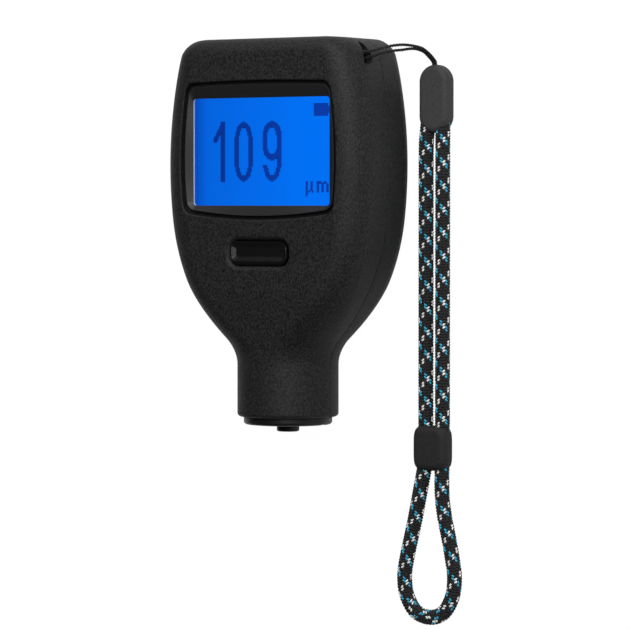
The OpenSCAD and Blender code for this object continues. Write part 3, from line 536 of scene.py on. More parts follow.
carrier = add(braid, MATH, {0: row, 1: CARRIER_REPEAT}, operation="FLOORED_MODULO")
even_column = add(braid, MATH, {0: odd, 1: 0}, operation="COMPARE")
odd_column = add(braid, MATH, {0: odd, 1: 1}, operation="COMPARE")
blue_row = add(braid, MATH, {0: carrier, 1: BLUE_CARRIER}, operation="COMPARE")
white_row = add(braid, MATH, {0: carrier, 1: WHITE_CARRIER}, operation="COMPARE")
is_blue = add(braid, MATH, {0: blue_row, 1: even_column}, operation="MULTIPLY")
is_white = add(braid, MATH, {0: white_row, 1: odd_column}, operation="MULTIPLY")
dye = add(braid, MATH, {0: is_blue, 1: BLUE_DYE, 2: is_white}, operation="MULTIPLY_ADD")
dyed = add(braid, "GeometryNodeStoreNamedAttribute", {
    "Geometry": placed, "Name": "dye", "Value": dye,
}, data_type="FLOAT", domain="POINT")

stroke = add(braid, "GeometryNodeMeshUVSphere", {"Segments": 5, "Rings": 4, "Radius": 1.0})
size = add(braid, "ShaderNodeCombineXYZ", {
    "X": sizes["Stroke Length"], "Y": sizes["Stroke Width"], "Z": sizes["Stroke Height"],
})
half_size = add(braid, VECTOR, {0: size, "Scale": 0.5}, operation="SCALE")
strokes = add(braid, "GeometryNodeInstanceOnPoints", {
    "Points": dyed, "Selection": on_cord, "Instance": stroke, "Rotation": facing, "Scale": half_size,
})
real_strokes = add(braid, "GeometryNodeRealizeInstances", {"Geometry": strokes})
core_curve = add(braid, "GeometryNodeResampleCurve", {
    "Curve": curve, "Length": CORE_STEP * MM,
}, mode="LENGTH")
core_ring = add(braid, "GeometryNodeCurvePrimitiveCircle", {
    "Resolution": CORE_SIDES, "Radius": sizes["Core"],
})
core = add(braid, "GeometryNodeCurveToMesh", {
    "Curve": core_curve, "Profile Curve": core_ring, "Fill Caps": True,
})
cord_parts = add(braid, "GeometryNodeJoinGeometry", {0: core})
braid.links.new(real_strokes.outputs[0], cord_parts.inputs[0])
found = add(braid, "GeometryNodeInputNamedAttribute", {"Name": "dye"}, data_type="FLOAT")
for material, value in ((black_yarn, BLACK_DYE), (white_yarn, WHITE_DYE), (blue_yarn, BLUE_DYE)):
    chosen = add(braid, MATH, {0: found, 1: value}, operation="COMPARE")
    cord_parts = add(braid, "GeometryNodeSetMaterial", {
        "Geometry": cord_parts, "Selection": chosen, "Material": material,
    })
end_tree(braid, cord_parts)
print("braid:", len(braid.nodes), "nodes")

# %% [markdown]
# The cord runs from the clip down through the slider, round its free end and back. The two runs lie side by
# side on the table, and close up where they enter the clip.

# %% Wrist cord
STRAP_X, STRAP_Z, CORD_PITCH = 36.8, 2.3, 4.9
CORD_D, CORD_LAY = 3.9, 11.8
STROKE_MIDDLE, CORE_SHARE = 0.87, 0.84
BRAID_START, BRAID_TURN = 0.88, 287.8
STROKE_LEN, STROKE_W, STROKE_H, STROKE_LEAN = 1.2, 0.62, 0.56, 50

left_x, right_x = STRAP_X - CORD_PITCH / 2, STRAP_X + CORD_PITCH / 2
straight = range(20, -51, -10)
CORD_ROUTE = [(left_x + 0.8, 30, STRAP_Z), (left_x + 0.4, 27, STRAP_Z), (left_x + 0.1, 24, STRAP_Z)]
CORD_ROUTE += [(left_x, y, STRAP_Z) for y in straight]
CORD_ROUTE += [
    (34.3, -57, 2.3), (33.4, -62, 2.3), (32.3, -67, 2.2), (31.2, -72, 2.1), (29.95, -77, 2),
    (28.75, -82, 2), (27.9, -87, 2), (28.5, -92, 2), (31.1, -96.15, 2), (35.3, -97.5, 2),
    (39.4, -96.15, 2), (42, -92, 2), (42.7, -87, 2), (42, -82, 2), (41, -77, 2),
    (39.9, -72, 2.1), (39.2, -67, 2.2), (39.1, -62, 2.3), (39.2, -57, 2.3),
]
CORD_ROUTE += [(right_x, y, STRAP_Z) for y in reversed(straight)]
CORD_ROUTE += [(right_x, 24, STRAP_Z), (right_x + 0.03, 27, STRAP_Z), (right_x + 0.05, 30, STRAP_Z)]

cord_line = smooth_route(CORD_ROUTE, 6)
wrist_cord = run_tree(wire("wrist_cord", cord_line), braid, {
    "Radius": STROKE_MIDDLE * CORD_D / 2 * MM,
    "Core": CORE_SHARE * CORD_D / 2 * MM,
    "Lay": CORD_LAY * MM,
    "Start": BRAID_START * MM,
    "Turn": math.radians(BRAID_TURN),
    "Stroke Length": STROKE_LEN * MM,
    "Stroke Width": STROKE_W * MM,
    "Stroke Height": STROKE_H * MM,
    "Lean": math.radians(STROKE_LEAN),
})
settle(wrist_cord, "housing", None, ["strap_cord"], sharp=180, in_mm=False)
print(f"wrist cord: {route_length(cord_line) / MM:.0f} mm long")

# %% [markdown]
# ## Plastics
# The housing is moulded from matt black ABS. In the photo it has a fine grain of short streaks that run
# down the body, so the noise is drawn out along Y. The real grain is finer than a pixel. It is drawn at
# about a pixel's size, 0.27 mm, which is as coarse as it needs to be to show.

# %% Plastic materials


def plastic(name, dark, light, rough, grain, relief, gloss=0.3, stretch=(1, 1, 1)):
    """Two tones, a range of roughness, the size of the grain and its relief in millimetres."""
    made, tree = start_material(name)
    field = grain_field(tree, grain, stretch)
    shader = add(tree, "ShaderNodeBsdfPrincipled", {
        "Base Color": add(tree, "ShaderNodeValToRGB", {"Fac": field}, ((DARK_AT, dark), (LIGHT_AT, light))),
        "Roughness": add(tree, "ShaderNodeMapRange", {
            "Value": field, "To Min": rough[0], "To Max": rough[1],
        }),
        "Specular IOR Level": gloss,
        "Normal": add(tree, "ShaderNodeBump", {"Height": field, "Distance": relief * MM, "Strength": 1.0}),
    })
    add(tree, "ShaderNodeOutputMaterial", {"Surface": shader})
    return made


# A grained mould leaves a dull surface with specks that catch the light.
housing_abs = plastic(
    "moulded_abs_black", "#030304", "#2c2c2d", (0.5, 0.66), 0.27, 0.06, 0.22, stretch=(1, 2.2, 1))
# The trim comes from a smooth mould, and has broad soft highlights.
trim_abs = plastic("satin_abs_black", "#101011", "#1b1b1c", (0.34, 0.42), 0.25, 0.008)
# The frame of the display is a shade lighter, so that its slopes stand out from the housing.
bezel_abs = plastic("satin_abs_frame", "#141415", "#1f1f20", (0.42, 0.5), 0.25, 0.008, 0.36)
# The key is polished, so it is the blackest plastic and draws the lamps as thin lines.
key_abs = plastic("polished_abs_black", "#09090a", "#0e0e0f", (0.2, 0.26), 0.5, 0.004, 0.5)
# The clip and the slider are plain moulded grey, even and without a highlight.
clip_abs = plastic("moulded_abs_grey", "#353536", "#424243", (0.6, 0.7), 0.3, 0.012, 0.15)
slider_abs = plastic("moulded_abs_dark", "#222223", "#2c2c2d", (0.6, 0.7), 0.3, 0.012, 0.15)
plastics = (housing_abs, trim_abs, bezel_abs, key_abs, clip_abs, slider_abs)
print("plastics:", *[made.name for made in plastics])

# %% [markdown]
# ## The housing
# Seen from above, the housing is drawn with three arcs that touch: a long flank, a shoulder that turns in
# and a small fillet into the tube. Its section changes from a round tube to a box with soft edges on
# the way up. A mould maker would describe it in the same way, as sections along the probe axis, so it is
# lofted: one section per station, an outer skin and an inner skin 2 mm inside it.

# %% Outline of the housing
TUBE_R = 13
FLANK_R = 114
SHOULDER_R = 54
NECK_R = 10.2
Y_WIDE = 17.9
Y_NECK = -33.5
CORNER_R = 4.2

Y_CORNER = Y_TOP - CORNER_R
flank_c = Vector((HALF_W - FLANK_R, Y_WIDE))
neck_c = Vector((TUBE_R + NECK_R, Y_NECK))
inner_reach, outer_reach = FLANK_R - SHOULDER_R, SHOULDER_R + NECK_R
span = (neck_c - flank_c).length
heading = (neck_c - flank_c) / span
span_part = (inner_reach**2 - outer_reach**2 + span**2) / (2 * span)
span_side = math.sqrt(inner_reach**2 - span_part**2)
shoulder_c = flank_c + span_part * heading + span_side * Vector((-heading.y, heading.x))
y_flank = (flank_c + (shoulder_c - flank_c).normalized() * FLANK_R).y
y_turn = (shoulder_c + (neck_c - shoulder_c).normalized() * SHOULDER_R).y


def outline(y):
    """Half width of the housing seen from above, without its top corners."""
    if y <= Y_NECK:
        return TUBE_R
    if y <= y_turn:
        return neck_c.x - math.sqrt(NECK_R**2 - (y - Y_NECK)**2)
    if y <= y_flank:
        return shoulder_c.x + math.sqrt(SHOULDER_R**2 - (y - shoulder_c.y)**2)
    return flank_c.x + math.sqrt(FLANK_R**2 - (y - Y_WIDE)**2)


print(f"shoulder turns at Y {y_turn:.1f}, flank starts at Y {y_flank:.1f}")

# %% Sections of the housing
EDGE_R = 8
EDGE_SPARE = 0.1
TOP_R = 4
BLEND = 22.5
WALL = 2
LIP_R = 1
SEAM, SEAM_RISE, SEAM_SPARE = 0.15, 0.21, 0.01
SAG, SAG_POWER = 0.55, 1.6
SAG_X, SAG_X_SPAN, SAG_Y, SAG_Y_SPAN = 14, 11, 42, 8
LIP_STEPS, NECK_STEPS, FLANK_STEPS, CORNER_STEPS, EDGE_STEPS = 6, 60, 20, 12, 18


def drop(y, start, r):
    """How far a quarter round that starts at a station has fallen."""
    return 0 if y <= start else r - math.sqrt(max(0, r * r - (y - start)**2))


def frame_at(y, inset=0):
    """Half width, half depth and edge radius of the housing at a station."""
    t = max(0, min(1, (y - Y_NECK) / BLEND))
    ease = t * t * (3 - 2 * t)
    lip = 0 if inset else drop(-y, -Y_LIP - LIP_R, LIP_R)
    top = drop(y, Y_TOP - TOP_R, TOP_R - inset) + lip
    width = outline(y) - inset - drop(y, Y_CORNER, CORNER_R - inset) - lip
    depth = TUBE_R + (MID_Z - TUBE_R) * ease - inset - top
    edge = TUBE_R + (EDGE_R - TUBE_R) * ease - inset - top
    return width, depth, min(edge, width - EDGE_SPARE)


def half_section(y, inset):
    """Half of a section from side to side, with a fine groove at the parting line of the outer skin."""
    width, depth, r = frame_at(y, inset)
    side = [(width, 0)]
    if not inset:
        side = [(width - SEAM, 0), (width, min(SEAM_RISE, depth - r + SEAM_SPARE))]
    side += quarter((width - r, depth - r), r, 0, 90, EDGE_STEPS)[1:]
    return side + [(-x, z) for x, z in reversed(side)]


def stations(inset):
    """Places of the sections along Y."""
    lip = [Y_LIP + LIP_R * (1 - math.cos(math.pi / 2 * k / LIP_STEPS)) for k in range(LIP_STEPS + 1)]
    neck = [Y_NECK + (y_flank - Y_NECK) * k / NECK_STEPS for k in range(NECK_STEPS + 1)]
    flank = [y_flank + (Y_CORNER - y_flank) * k / FLANK_STEPS for k in range(1, FLANK_STEPS + 1)]
    turns = [math.pi / 2 * k / CORNER_STEPS for k in range(1, CORNER_STEPS + 1)]
    return lip + neck + flank + [Y_CORNER + (CORNER_R - inset) * math.sin(a) for a in turns]


def top_sag(x, y):
    """How far the top end falls away towards its corners."""
    out = max(0, min(1, (abs(x) - SAG_X) / SAG_X_SPAN))
    near = max(0, min(1, (y - SAG_Y) / SAG_Y_SPAN))
    return SAG * out**SAG_POWER * near * near * (3 - 2 * near)


def half_shell(name, up):
    """Front half (up = 1) or rear half (up = -1) of the housing as a closed wall."""
    bm = bmesh.new()
    skins = []
    for inset in (0, WALL):
        skin = []
        for y in stations(inset):
            section = half_section(y, inset)
            skin.append([bm.verts.new((x, y - top_sag(x, y), MID_Z + up * z)) for x, z in section])
        for a, b in zip(skin, skin[1:]):
            for k in range(len(a) - 1):
                bm.faces.new((a[k], a[k + 1], b[k + 1], b[k]))
        bm.faces.new(skin[-1])
        skins.append(skin)
    outer, inner = skins
    for i in range(len(outer) - 1):
        for k in (0, -1):
            bm.faces.new((outer[i][k], outer[i + 1][k], inner[i + 1][k], inner[i][k]))
    bm.faces.new(outer[0] + inner[0][::-1])
    bm.faces.new((outer[-1][0], outer[-1][-1], inner[-1][-1], inner[-1][0]))
    return draw(name, bm)


front = half_shell("front_shell_dressed", 1)
rear = half_shell("rear_shell_dressed", -1)
print(f"two halves of {len(front.data.polygons)} faces, parted at Z {MID_Z:.1f}")

# %% [markdown]
# ### Openings in a curved front
# The outer edges of the openings are rounded, and the rounding has to follow a surface that curves away at
# the sides. Each cutter is therefore lofted from rings that take their height from the formula of that
# surface.

# %% Opening cutter
LIP_TURN, LIP_SPANS = 75, 8
RUN_OUT, CUT_CLEAR = 1.5, 3


def front_z(x, y):
    """Height of the front surface."""
    width, depth, r = frame_at(y)
    past = min(r, max(0, abs(x) - (width - r)))
    return MID_Z + depth - r + math.sqrt(r * r - past * past)


def soft_opening(outline_at, y0, inside, lip):
    """Cutter with a rounded outer edge. Inside holds a growth and a height for each ring below it."""
    rings = [[(x, y0 + y, z) for x, y in outline_at(out)] for out, z in inside]
    turns = [math.radians(LIP_TURN * k / LIP_SPANS) for k in range(LIP_SPANS + 1)]
    edge = [(lip * (1 - math.cos(a)), lip * (math.sin(a) - 1)) for a in turns]
    last_out, last_rise = edge[-1]
    edge.append((last_out + RUN_OUT * math.sin(turns[-1]), last_rise + RUN_OUT * math.cos(turns[-1])))
    for out, rise in edge:
        points = [(x, y0 + y) for x, y in outline_at(out)]
        rings.append([(x, y, front_z(x, y) + rise) for x, y in points])
    rings.append([(x, y, DEPTH + CUT_CLEAR) for x, y in points])
    return draw("opening", loft(rings))


# %% [markdown]
# ### Front shell
# The front shell carries the display opening, the key opening and the strap slot. The sides of the display
# opening bow out a little, and are widest below its middle. Inside are bosses for the case screws, posts
# for the board and a pin for the thin loop.

# %% Bosses of the front shell
SCREWS = [(-19.45, 41.6), (19.45, 41.6), (-17, -12), (17, -12)]
BOARD_POSTS = [(-12.6, -1.4), (12.6, -1.4), (-11, 42.5), (11, 42.5)]
STRAP_PIN = [(22.83, 45.4)]
BOSS_R, BOSS_HOLE_R = 2.75, 1.3
POST_R, POST_HOLE_R, POST_LOW = 2.2, 0.85, 18.6
PIN_R = 1
HOLE_TOP = 24
SINK = 0.6


def pillars(r, places, low, high):
    """An upright rod at each place."""
    return [rod(r, (x, y, low), (x, y, high)) for x, y in places]


inner_z = DEPTH - WALL
front = combine(front, gather(
    *pillars(BOSS_R, SCREWS, MID_Z, inner_z + SINK),
    *pillars(POST_R, BOARD_POSTS, POST_LOW, inner_z + SINK),
    *pillars(PIN_R, STRAP_PIN, MID_Z, inner_z),
), "UNION")
front = combine(front, gather(
    *pillars(BOSS_HOLE_R, SCREWS, MID_Z - 1, HOLE_TOP),
    *pillars(POST_HOLE_R, BOARD_POSTS, POST_LOW - SINK, HOLE_TOP),
), "DIFFERENCE")
print("bosses:", len(SCREWS), "posts:", len(BOARD_POSTS))

# %% Openings of the front shell
DISPLAY_X, DISPLAY_Y = -0.4, 21.65
DISPLAY_W, DISPLAY_H, DISPLAY_R = 47.2, 35.3, 2.2
BOW_SIDE, BOW_TOP, BOW_BOTTOM, WIDEST = 1.4, 0.5, 1.7, -2.65
BEZEL_LOW = 25.5
FLANGE_OUT, SEAT_UP, DISPLAY_LIP = 0.4, 0.05, 0.45
KEY_Y = -4.5
KEY_W, KEY_H, KEY_R, KEY_GAP, KEY_LIP = 17.2, 6.1, 2.3, 0.25, 1.3
SLOT_Y, SLOT_Z = 46.1, 19.7
SLOT_W, SLOT_LEN, SLOT_TAPER, SLOT_FLAT = 2.6, 5.6, 0.4, 0.05
SLOT_TURN, SLOT_LEAN = -12, 14
SLOT_RINGS = [(-2.9, 0), (-0.6, 0), (0.2, 0.2), (0.7, 0.5), (4, 2.4)]


def bowed_rect(w, h, r, side=0, top=0, bottom=0, widest=0, steps=8, spans=16):
    """A rectangle with round corners whose four sides bow out, widest at a height from its middle."""
    x, y = w / 2 - r, h / 2 - r
    part = [1 - 2 * k / spans for k in range(1, spans)]
    points = quarter((x, y), r, 0, 90, steps) + [(x * t, h / 2) for t in part]
    points += quarter((-x, y), r, 90, 180, steps) + [(-w / 2, y * t) for t in part]
    points += quarter((-x, -y), r, 180, 270, steps) + [(-x * t, -h / 2) for t in part]
    points += quarter((x, -y), r, 270, 360, steps) + [(w / 2, -y * t) for t in part]
    bent = []
    for px, py in points:
        end = top if py > 0 else bottom
        narrow = 2 * side / w * (2 * (py - widest) / h)**2
        bent.append((px * (1 - narrow), py * (1 - 2 * end / h * (2 * px / w)**2)))
    return bent


def display_outline(out):
    """The display opening grown by out all round."""
    w, h, r = DISPLAY_W + 2 * out, DISPLAY_H + 2 * out, DISPLAY_R + out
    return [(x + DISPLAY_X, y) for x, y in bowed_rect(w, h, r, BOW_SIDE, BOW_TOP, BOW_BOTTOM, WIDEST)]


def key_outline(out):
    """The key opening grown by out all round."""
    gap = KEY_GAP + out
    return rounded(KEY_W + 2 * gap, KEY_H + 2 * gap, KEY_R + gap)


def slot_outline(out):
    """The strap slot grown by out, wider at its lower end."""
    points = rounded(SLOT_W + 2 * out, SLOT_LEN + 2 * out, SLOT_W / 2 - SLOT_FLAT + out)
    return [(x * (1 - SLOT_TAPER * 2 * y / SLOT_LEN), y) for x, y in points]


seat_z = inner_z + SEAT_UP
display_inside = [(FLANGE_OUT, BEZEL_LOW), (FLANGE_OUT, seat_z), (0, seat_z)]
front = combine(front, soft_opening(display_outline, DISPLAY_Y, display_inside, DISPLAY_LIP), "DIFFERENCE")
front = combine(front, soft_opening(key_outline, KEY_Y, [(0, inner_z - 1)], KEY_LIP), "DIFFERENCE")

slot_turn = (
    Matrix.Translation((frame_at(SLOT_Y)[0], SLOT_Y, SLOT_Z))
    @ Matrix.Rotation(math.radians(SLOT_TURN), 4, "Y")
    @ Matrix.Rotation(math.radians(SLOT_LEAN), 4, "X")
    @ Matrix.Rotation(math.radians(90), 4, "Y")
)
slot = loft([[slot_turn @ Vector((x, y, z)) for x, y in slot_outline(out)] for z, out in SLOT_RINGS])
front = combine(front, draw("slot", slot), "DIFFERENCE")
settle(front, "housing", housing_abs, ["front_shell"])

# %% [markdown]
# ### Rear shell
# The rear shell is the same form turned over. Its flat back is open for the battery cover, with a tray
# for two cells behind it, rails that close the grooves for the cover, and deep holes for the case screws.

# %% Rear shell
COVER_W, COVER_T, COVER_Y0 = 30, 1.8, -4
SLIDE = 0.2
LEDGE = 0.8
GROOVE, GROOVE_SHORT = 1, 0.5
COVER_LIP = 8
HOOK_W, HOOK_LEN = 16, 1.5
BAY_Y0, BAY_Y1, BAY_HALF, BAY_TOP, BAY_ROOF = -1.5, 46.8, 11.1, 12.9, 14.2
BAY_WALL = 1.5
RAIL_X, RAIL_W, RAIL_Z, RAIL_T, RAIL_GAP = 16.2, 2.2, 2, 1.2, 0.05
HEAD_R, HEAD_Z = 2.05, 6.2


def span_x(half, y0, y1, z0, z1, middle=0):
    """A block that reaches half to each side of a middle."""
    bm = bmesh.new()
    bmesh.ops.create_cube(bm, size=1)
    size = Vector((2 * half, y1 - y0, z1 - z0))
    place = Vector((middle, (y0 + y1) / 2, (z0 + z1) / 2))
    bmesh.ops.transform(bm, matrix=Matrix.Translation(place) @ Matrix.Diagonal(size).to_4x4(), verts=bm.verts)
    return draw("span", bm)


half_open = COVER_W / 2 + SLIDE
for cut in (
    (half_open, COVER_Y0 - SLIDE, Y_TOP + 1, -1, WALL + 1),
    (half_open + GROOVE, COVER_Y0 - SLIDE, Y_TOP - WALL - GROOVE_SHORT, LEDGE, WALL + 1),
    (HOOK_W / 2 + SLIDE, COVER_Y0 - HOOK_LEN - SLIDE, COVER_Y0 + 1, LEDGE, WALL + 1),
    (half_open, Y_TOP - WALL - SLIDE, Y_TOP + 1, -1, COVER_LIP + SLIDE),
):
    rear = combine(rear, span_x(*cut), "DIFFERENCE")

bay = (BAY_Y0 - BAY_WALL, BAY_Y1 + BAY_WALL)
rail_top = RAIL_Z + RAIL_T
rail_middle = RAIL_X + RAIL_W / 2 + RAIL_GAP
tray = span_x(BAY_HALF + BAY_WALL, *bay, RAIL_Z, BAY_ROOF)
tray = combine(tray, span_x(RAIL_X + RAIL_W, *bay, RAIL_Z, rail_top), "UNION")
for way in (-1, 1):
    tray = combine(tray, span_x(RAIL_W / 2, *bay, LEDGE, rail_top, way * rail_middle), "UNION")
tray = combine(tray, span_x(BAY_HALF, BAY_Y0, BAY_Y1, -1, BAY_TOP), "DIFFERENCE")
rear = combine(rear, tray, "UNION")

in_wall = WALL / 2
rear = combine(rear, gather(
    *pillars(BOSS_R, SCREWS, in_wall, MID_Z), *pillars(PIN_R, STRAP_PIN, in_wall, MID_Z),
), "UNION")
rear = combine(rear, gather(*pillars(HEAD_R, SCREWS, -1, HEAD_Z)), "DIFFERENCE")
rear = combine(rear, gather(*pillars(BOSS_HOLE_R, SCREWS, in_wall, MID_Z + 1)), "DIFFERENCE")
settle(rear, "housing", housing_abs, ["rear_shell"])

# %% [markdown]
# ### Battery cover
# The cover slides off over the top end. Five grooves of falling length form its thumb grip and point the
# way. They repeat, so Geometry Nodes lay out the rods that cut them: a row of points, each with a rod
# shorter than the last.

# %% Battery cover
COVER_EDGE = 0.2
GRIPS, GRIP_PITCH, GRIP_R, GRIP_TAPER, GRIP_UP, GRIP_SIDES = 5, 2.2, 0.5, 2, 8, 32

profile = [(COVER_Y0, COVER_T), (COVER_Y0, COVER_EDGE), (COVER_Y0 + COVER_EDGE, 0)]
profile += quarter((Y_TOP - TOP_R, TOP_R), TOP_R, -90, 0, 16)
profile += [(Y_TOP, COVER_LIP), (Y_TOP - COVER_T, COVER_LIP), (Y_TOP - COVER_T, COVER_T)]
plate = loft([[(x, y, z) for y, z in profile] for x in (-COVER_W / 2, COVER_W / 2)])
cover = draw("battery_cover_dressed", plate)
for tongue in (
    (COVER_W / 2 + GROOVE, COVER_Y0, Y_TOP - TOP_R - 1, LEDGE + SLIDE, COVER_T),
    (HOOK_W / 2, COVER_Y0 - HOOK_LEN, COVER_Y0 + 1, LEDGE + SLIDE, COVER_T),
):
    cover = combine(cover, span_x(*tongue), "UNION")

grips, sizes = start_tree("grip_rods", ["Pitch", "Radius", "Length", "Taper"])
step = add(grips, "ShaderNodeCombineXYZ", {"Y": sizes["Pitch"]})
row_of_points = add(grips, "GeometryNodeMeshLine", {"Count": GRIPS, "Offset": step})
index = add(grips, "GeometryNodeInputIndex")
shorter = add(grips, MATH, {0: index, 1: sizes["Taper"]}, operation="MULTIPLY")
length = add(grips, MATH, {0: sizes["Length"], 1: shorter}, operation="SUBTRACT")
stretch = add(grips, "ShaderNodeCombineXYZ", {"X": sizes["Radius"], "Y": sizes["Radius"], "Z": length})
round_rod = add(grips, "GeometryNodeMeshCylinder", {"Vertices": GRIP_SIDES, "Radius": 1.0, "Depth": 1.0})
rods = add(grips, "GeometryNodeInstanceOnPoints", {
    "Points": row_of_points, "Instance": round_rod, "Rotation": (0, math.pi / 2, 0), "Scale": stretch,
})
end_tree(grips, add(grips, "GeometryNodeSetMaterial", {"Geometry": rods, "Material": housing_abs}))
grip_tool = run_tree(draw("grips", bmesh.new()), grips, {
    "Pitch": GRIP_PITCH, "Radius": GRIP_R, "Length": HOOK_W, "Taper": GRIP_TAPER,
})
grip_tool.data.transform(Matrix.Translation((0, COVER_Y0 + GRIP_UP, 0)))
cover = combine(cover, grip_tool, "DIFFERENCE")
settle(cover, "cover", housing_abs, ["battery_cover"])

# %% [markdown]
# ## The display
# The bezel is a frame that slopes down to the window. Its outside follows the bowed opening and its inside
# is nearly a rectangle, so it is lofted through rings that change from one outline to the other. The
# frosted edge of the window shows inside it, and its left side catches the light as a thin line.

# %% Bezel
WINDOW_X, WINDOW_Y, WINDOW_W, WINDOW_H, WINDOW_R = 0.2, 21.3, 41.4, 27.4, 0.9
LENS_TOP = 26.5
BEZEL_TOP = 27.85
BEZEL_W, BEZEL_H, BEZEL_BOW = 45.4, 33.5, 1.1
BEZEL_FOOT, BEZEL_BACK = 0.35, -0.55
BEZEL_RIM = [(0, -0.25), (-0.04, -0.1), (-0.1, -0.02), (-0.18, 0), (-0.27, -0.06)]
EDGE_H, EDGE_T, EDGE_GAP, EDGE_SHIFT = 0.45, 0.08, 0.01, 0.03
WINDOW_RIM = [(0.15, EDGE_H + 0.12), (0, EDGE_H), (0, 0)]


def window_outline(out):
    """The clear window grown by out all round, placed in the opening."""
    points = bowed_rect(WINDOW_W + 2 * out, WINDOW_H + 2 * out, WINDOW_R + out)
    return [(x + WINDOW_X, y + WINDOW_Y - DISPLAY_Y) for x, y in points]


def bezel_outline(out):
    """The upper edge of the bezel grown by out, a little less bowed than the opening."""
    w, h, r = BEZEL_W + 2 * out, BEZEL_H + 2 * out, DISPLAY_R + out
    return bowed_rect(w, h, r, BEZEL_BOW, BOW_TOP, BOW_BOTTOM, WIDEST)


bezel_rings = [(display_outline(BEZEL_FOOT), z) for z in (BEZEL_LOW, inner_z)] + [(bezel_outline(0), inner_z)]
bezel_rings += [(bezel_outline(out), BEZEL_TOP + z) for out, z in BEZEL_RIM]
bezel_rings += [(window_outline(out), LENS_TOP + z) for out, z in WINDOW_RIM]
bezel_rings += [(bezel_outline(BEZEL_BACK), z) for z in (LENS_TOP, BEZEL_LOW)]
bezel_loft = loft([[(x, DISPLAY_Y + y, z) for x, y in points] for points, z in bezel_rings], capped=False)
settle(draw("display_bezel_dressed", bezel_loft), "housing", bezel_abs, ["display_bezel"])

# %% Window edge
# Sawn acrylic is frosted, so its edge is white where light falls on it.
edge_acrylic = plastic("frosted_acrylic_edge", "#d8dde6", "#eef1f6", (0.3, 0.4), 0.3, 0.004, 0.5)

edge_low, edge_high = 2 * EDGE_GAP, EDGE_H - 2 * EDGE_GAP
edge_in, edge_out = EDGE_GAP, EDGE_GAP + EDGE_T
edge_rings = [(edge_in, edge_high), (edge_in, edge_low), (edge_out, edge_low), (edge_out, edge_high)]
edge_loft = loft([
    [(x + EDGE_SHIFT, DISPLAY_Y + y, LENS_TOP + z) for x, y in window_outline(out)] for out, z in edge_rings
], capped=False)
settle(draw("window_edge", edge_loft), "housing", edge_acrylic)

# %% [markdown]
# ### Lit display
# Behind a clear acrylic plate the display glows blue, a little brighter towards the right. The marks are
# darker blue. Both give off their own light, so they are emission with a gradient across the width. Clear
# acrylic shows only as a faint gloss, because the photo has hardly a reflection in it.

# %% Display materials
LEFT_AT, RIGHT_AT = 0.08, 0.8
HAZE = 4
LENS_IOR, LENS_GLOSS = 1.3, 0.25


def lit(name, far_left, left, right):
    made, tree = start_material(name)
    spot = add(tree, "ShaderNodeTexCoord").outputs["Object"]
    across_display = add(tree, "ShaderNodeSeparateXYZ", {0: spot}).outputs["X"]
    edge = WINDOW_W / 2 * MM
    share = add(tree, "ShaderNodeMapRange", {"Value": across_display, "From Min": -edge, "From Max": edge})
    tones = ((LEFT_AT, left), (RIGHT_AT, right), (0, far_left))
    colour = add(tree, "ShaderNodeValToRGB", {"Fac": share}, tones)
    glow = add(tree, "ShaderNodeEmission", {"Color": colour})
    add(tree, "ShaderNodeOutputMaterial", {"Surface": glow})
    return made


lit_blue = lit("lit_display", "#0450bf", "#0465df", "#0173f5")
lit_dark = lit("display_marks", "#062a86", "#062c8a", "#0b36a0")

acrylic, tree = start_material("clear_acrylic")
haze = grain_field(tree, HAZE)
polish = add(tree, "ShaderNodeMapRange", {"Value": haze, "To Min": 0.05, "To Max": 0.08})
clear = add(tree, "ShaderNodeBsdfTransparent", {"Color": linear("#fcfdff")})
gloss = add(tree, "ShaderNodeBsdfGlossy", {"Roughness": polish, "Color": linear("#ffffff")})
edge_on = add(tree, "ShaderNodeFresnel", {"IOR": LENS_IOR})
share = add(tree, MATH, {0: edge_on, 1: LENS_GLOSS}, operation="MULTIPLY")
plate = add(tree, "ShaderNodeMixShader", {0: share, 1: clear, 2: gloss})
add(tree, "ShaderNodeOutputMaterial", {"Surface": plate})
print("display materials:", lit_blue.name, lit_dark.name, acrylic.name)

# %% [markdown]
# ### Display marks
# The display is made of small square cells, and the figures show it in their stepped edges. A cell is dark
# when its middle lies inside a figure, and each figure is a short formula: rings for the nought and the
# nine, bars for the one. The dark cells are points, and Geometry Nodes set a thin square on each.

# %% Figures
CELL = 0.36
FIGURE_Y, FIGURE_H = 21.33, 15.2
FIGURES = [(-13.6, "1"), (-6.1, "0"), (2.6, "9")]
FIGURE_CELLS_X, FIGURE_CELLS_Y = 3.24, 7.74
STROKE, STROKE_END = 1.42, 0.1
NOUGHT_HALF, NINE_HALF, BOWL_HALF, TAIL_Y = 2.95, 2.98, 4.9, -3.6
BAR_RIGHT, BAR_W = 1.82, 1.3
FLAG_X, FLAG_DOWN, FLAG_HALF, FLAG_LEFT, FLAG_DROP = -1.35, 4.8, 0.66, -1.8, 5.4
FLAG_ACROSS = (0.86, 0.51)


def in_ring(x, y, half_w, half_h, power=2.4):
    def inside(a, b):
        return abs(x / a)**power + abs(y / b)**power < 1
    return inside(half_w, half_h) and not inside(half_w - STROKE, half_h - STROKE - STROKE_END)


def in_figure(kind, x, y):
    half_h = FIGURE_H / 2
    if kind == "0":
        return in_ring(x, y, NOUGHT_HALF, half_h)
    if kind == "9":
        bowl = in_ring(x, y - half_h + BOWL_HALF, NINE_HALF, BOWL_HALF)
        return bowl or (in_ring(x, y, NINE_HALF, half_h) and (x > 0 or y < TAIL_Y))
    if abs(y) < half_h and BAR_RIGHT - BAR_W < x < BAR_RIGHT:
        return True
    beside_flag = (x - FLAG_X) * FLAG_ACROSS[0] - (y - half_h + FLAG_DOWN) * FLAG_ACROSS[1]
    in_reach = FLAG_LEFT < x < BAR_RIGHT and half_h - FLAG_DROP < y < half_h
    return in_reach and abs(beside_flag) < FLAG_HALF


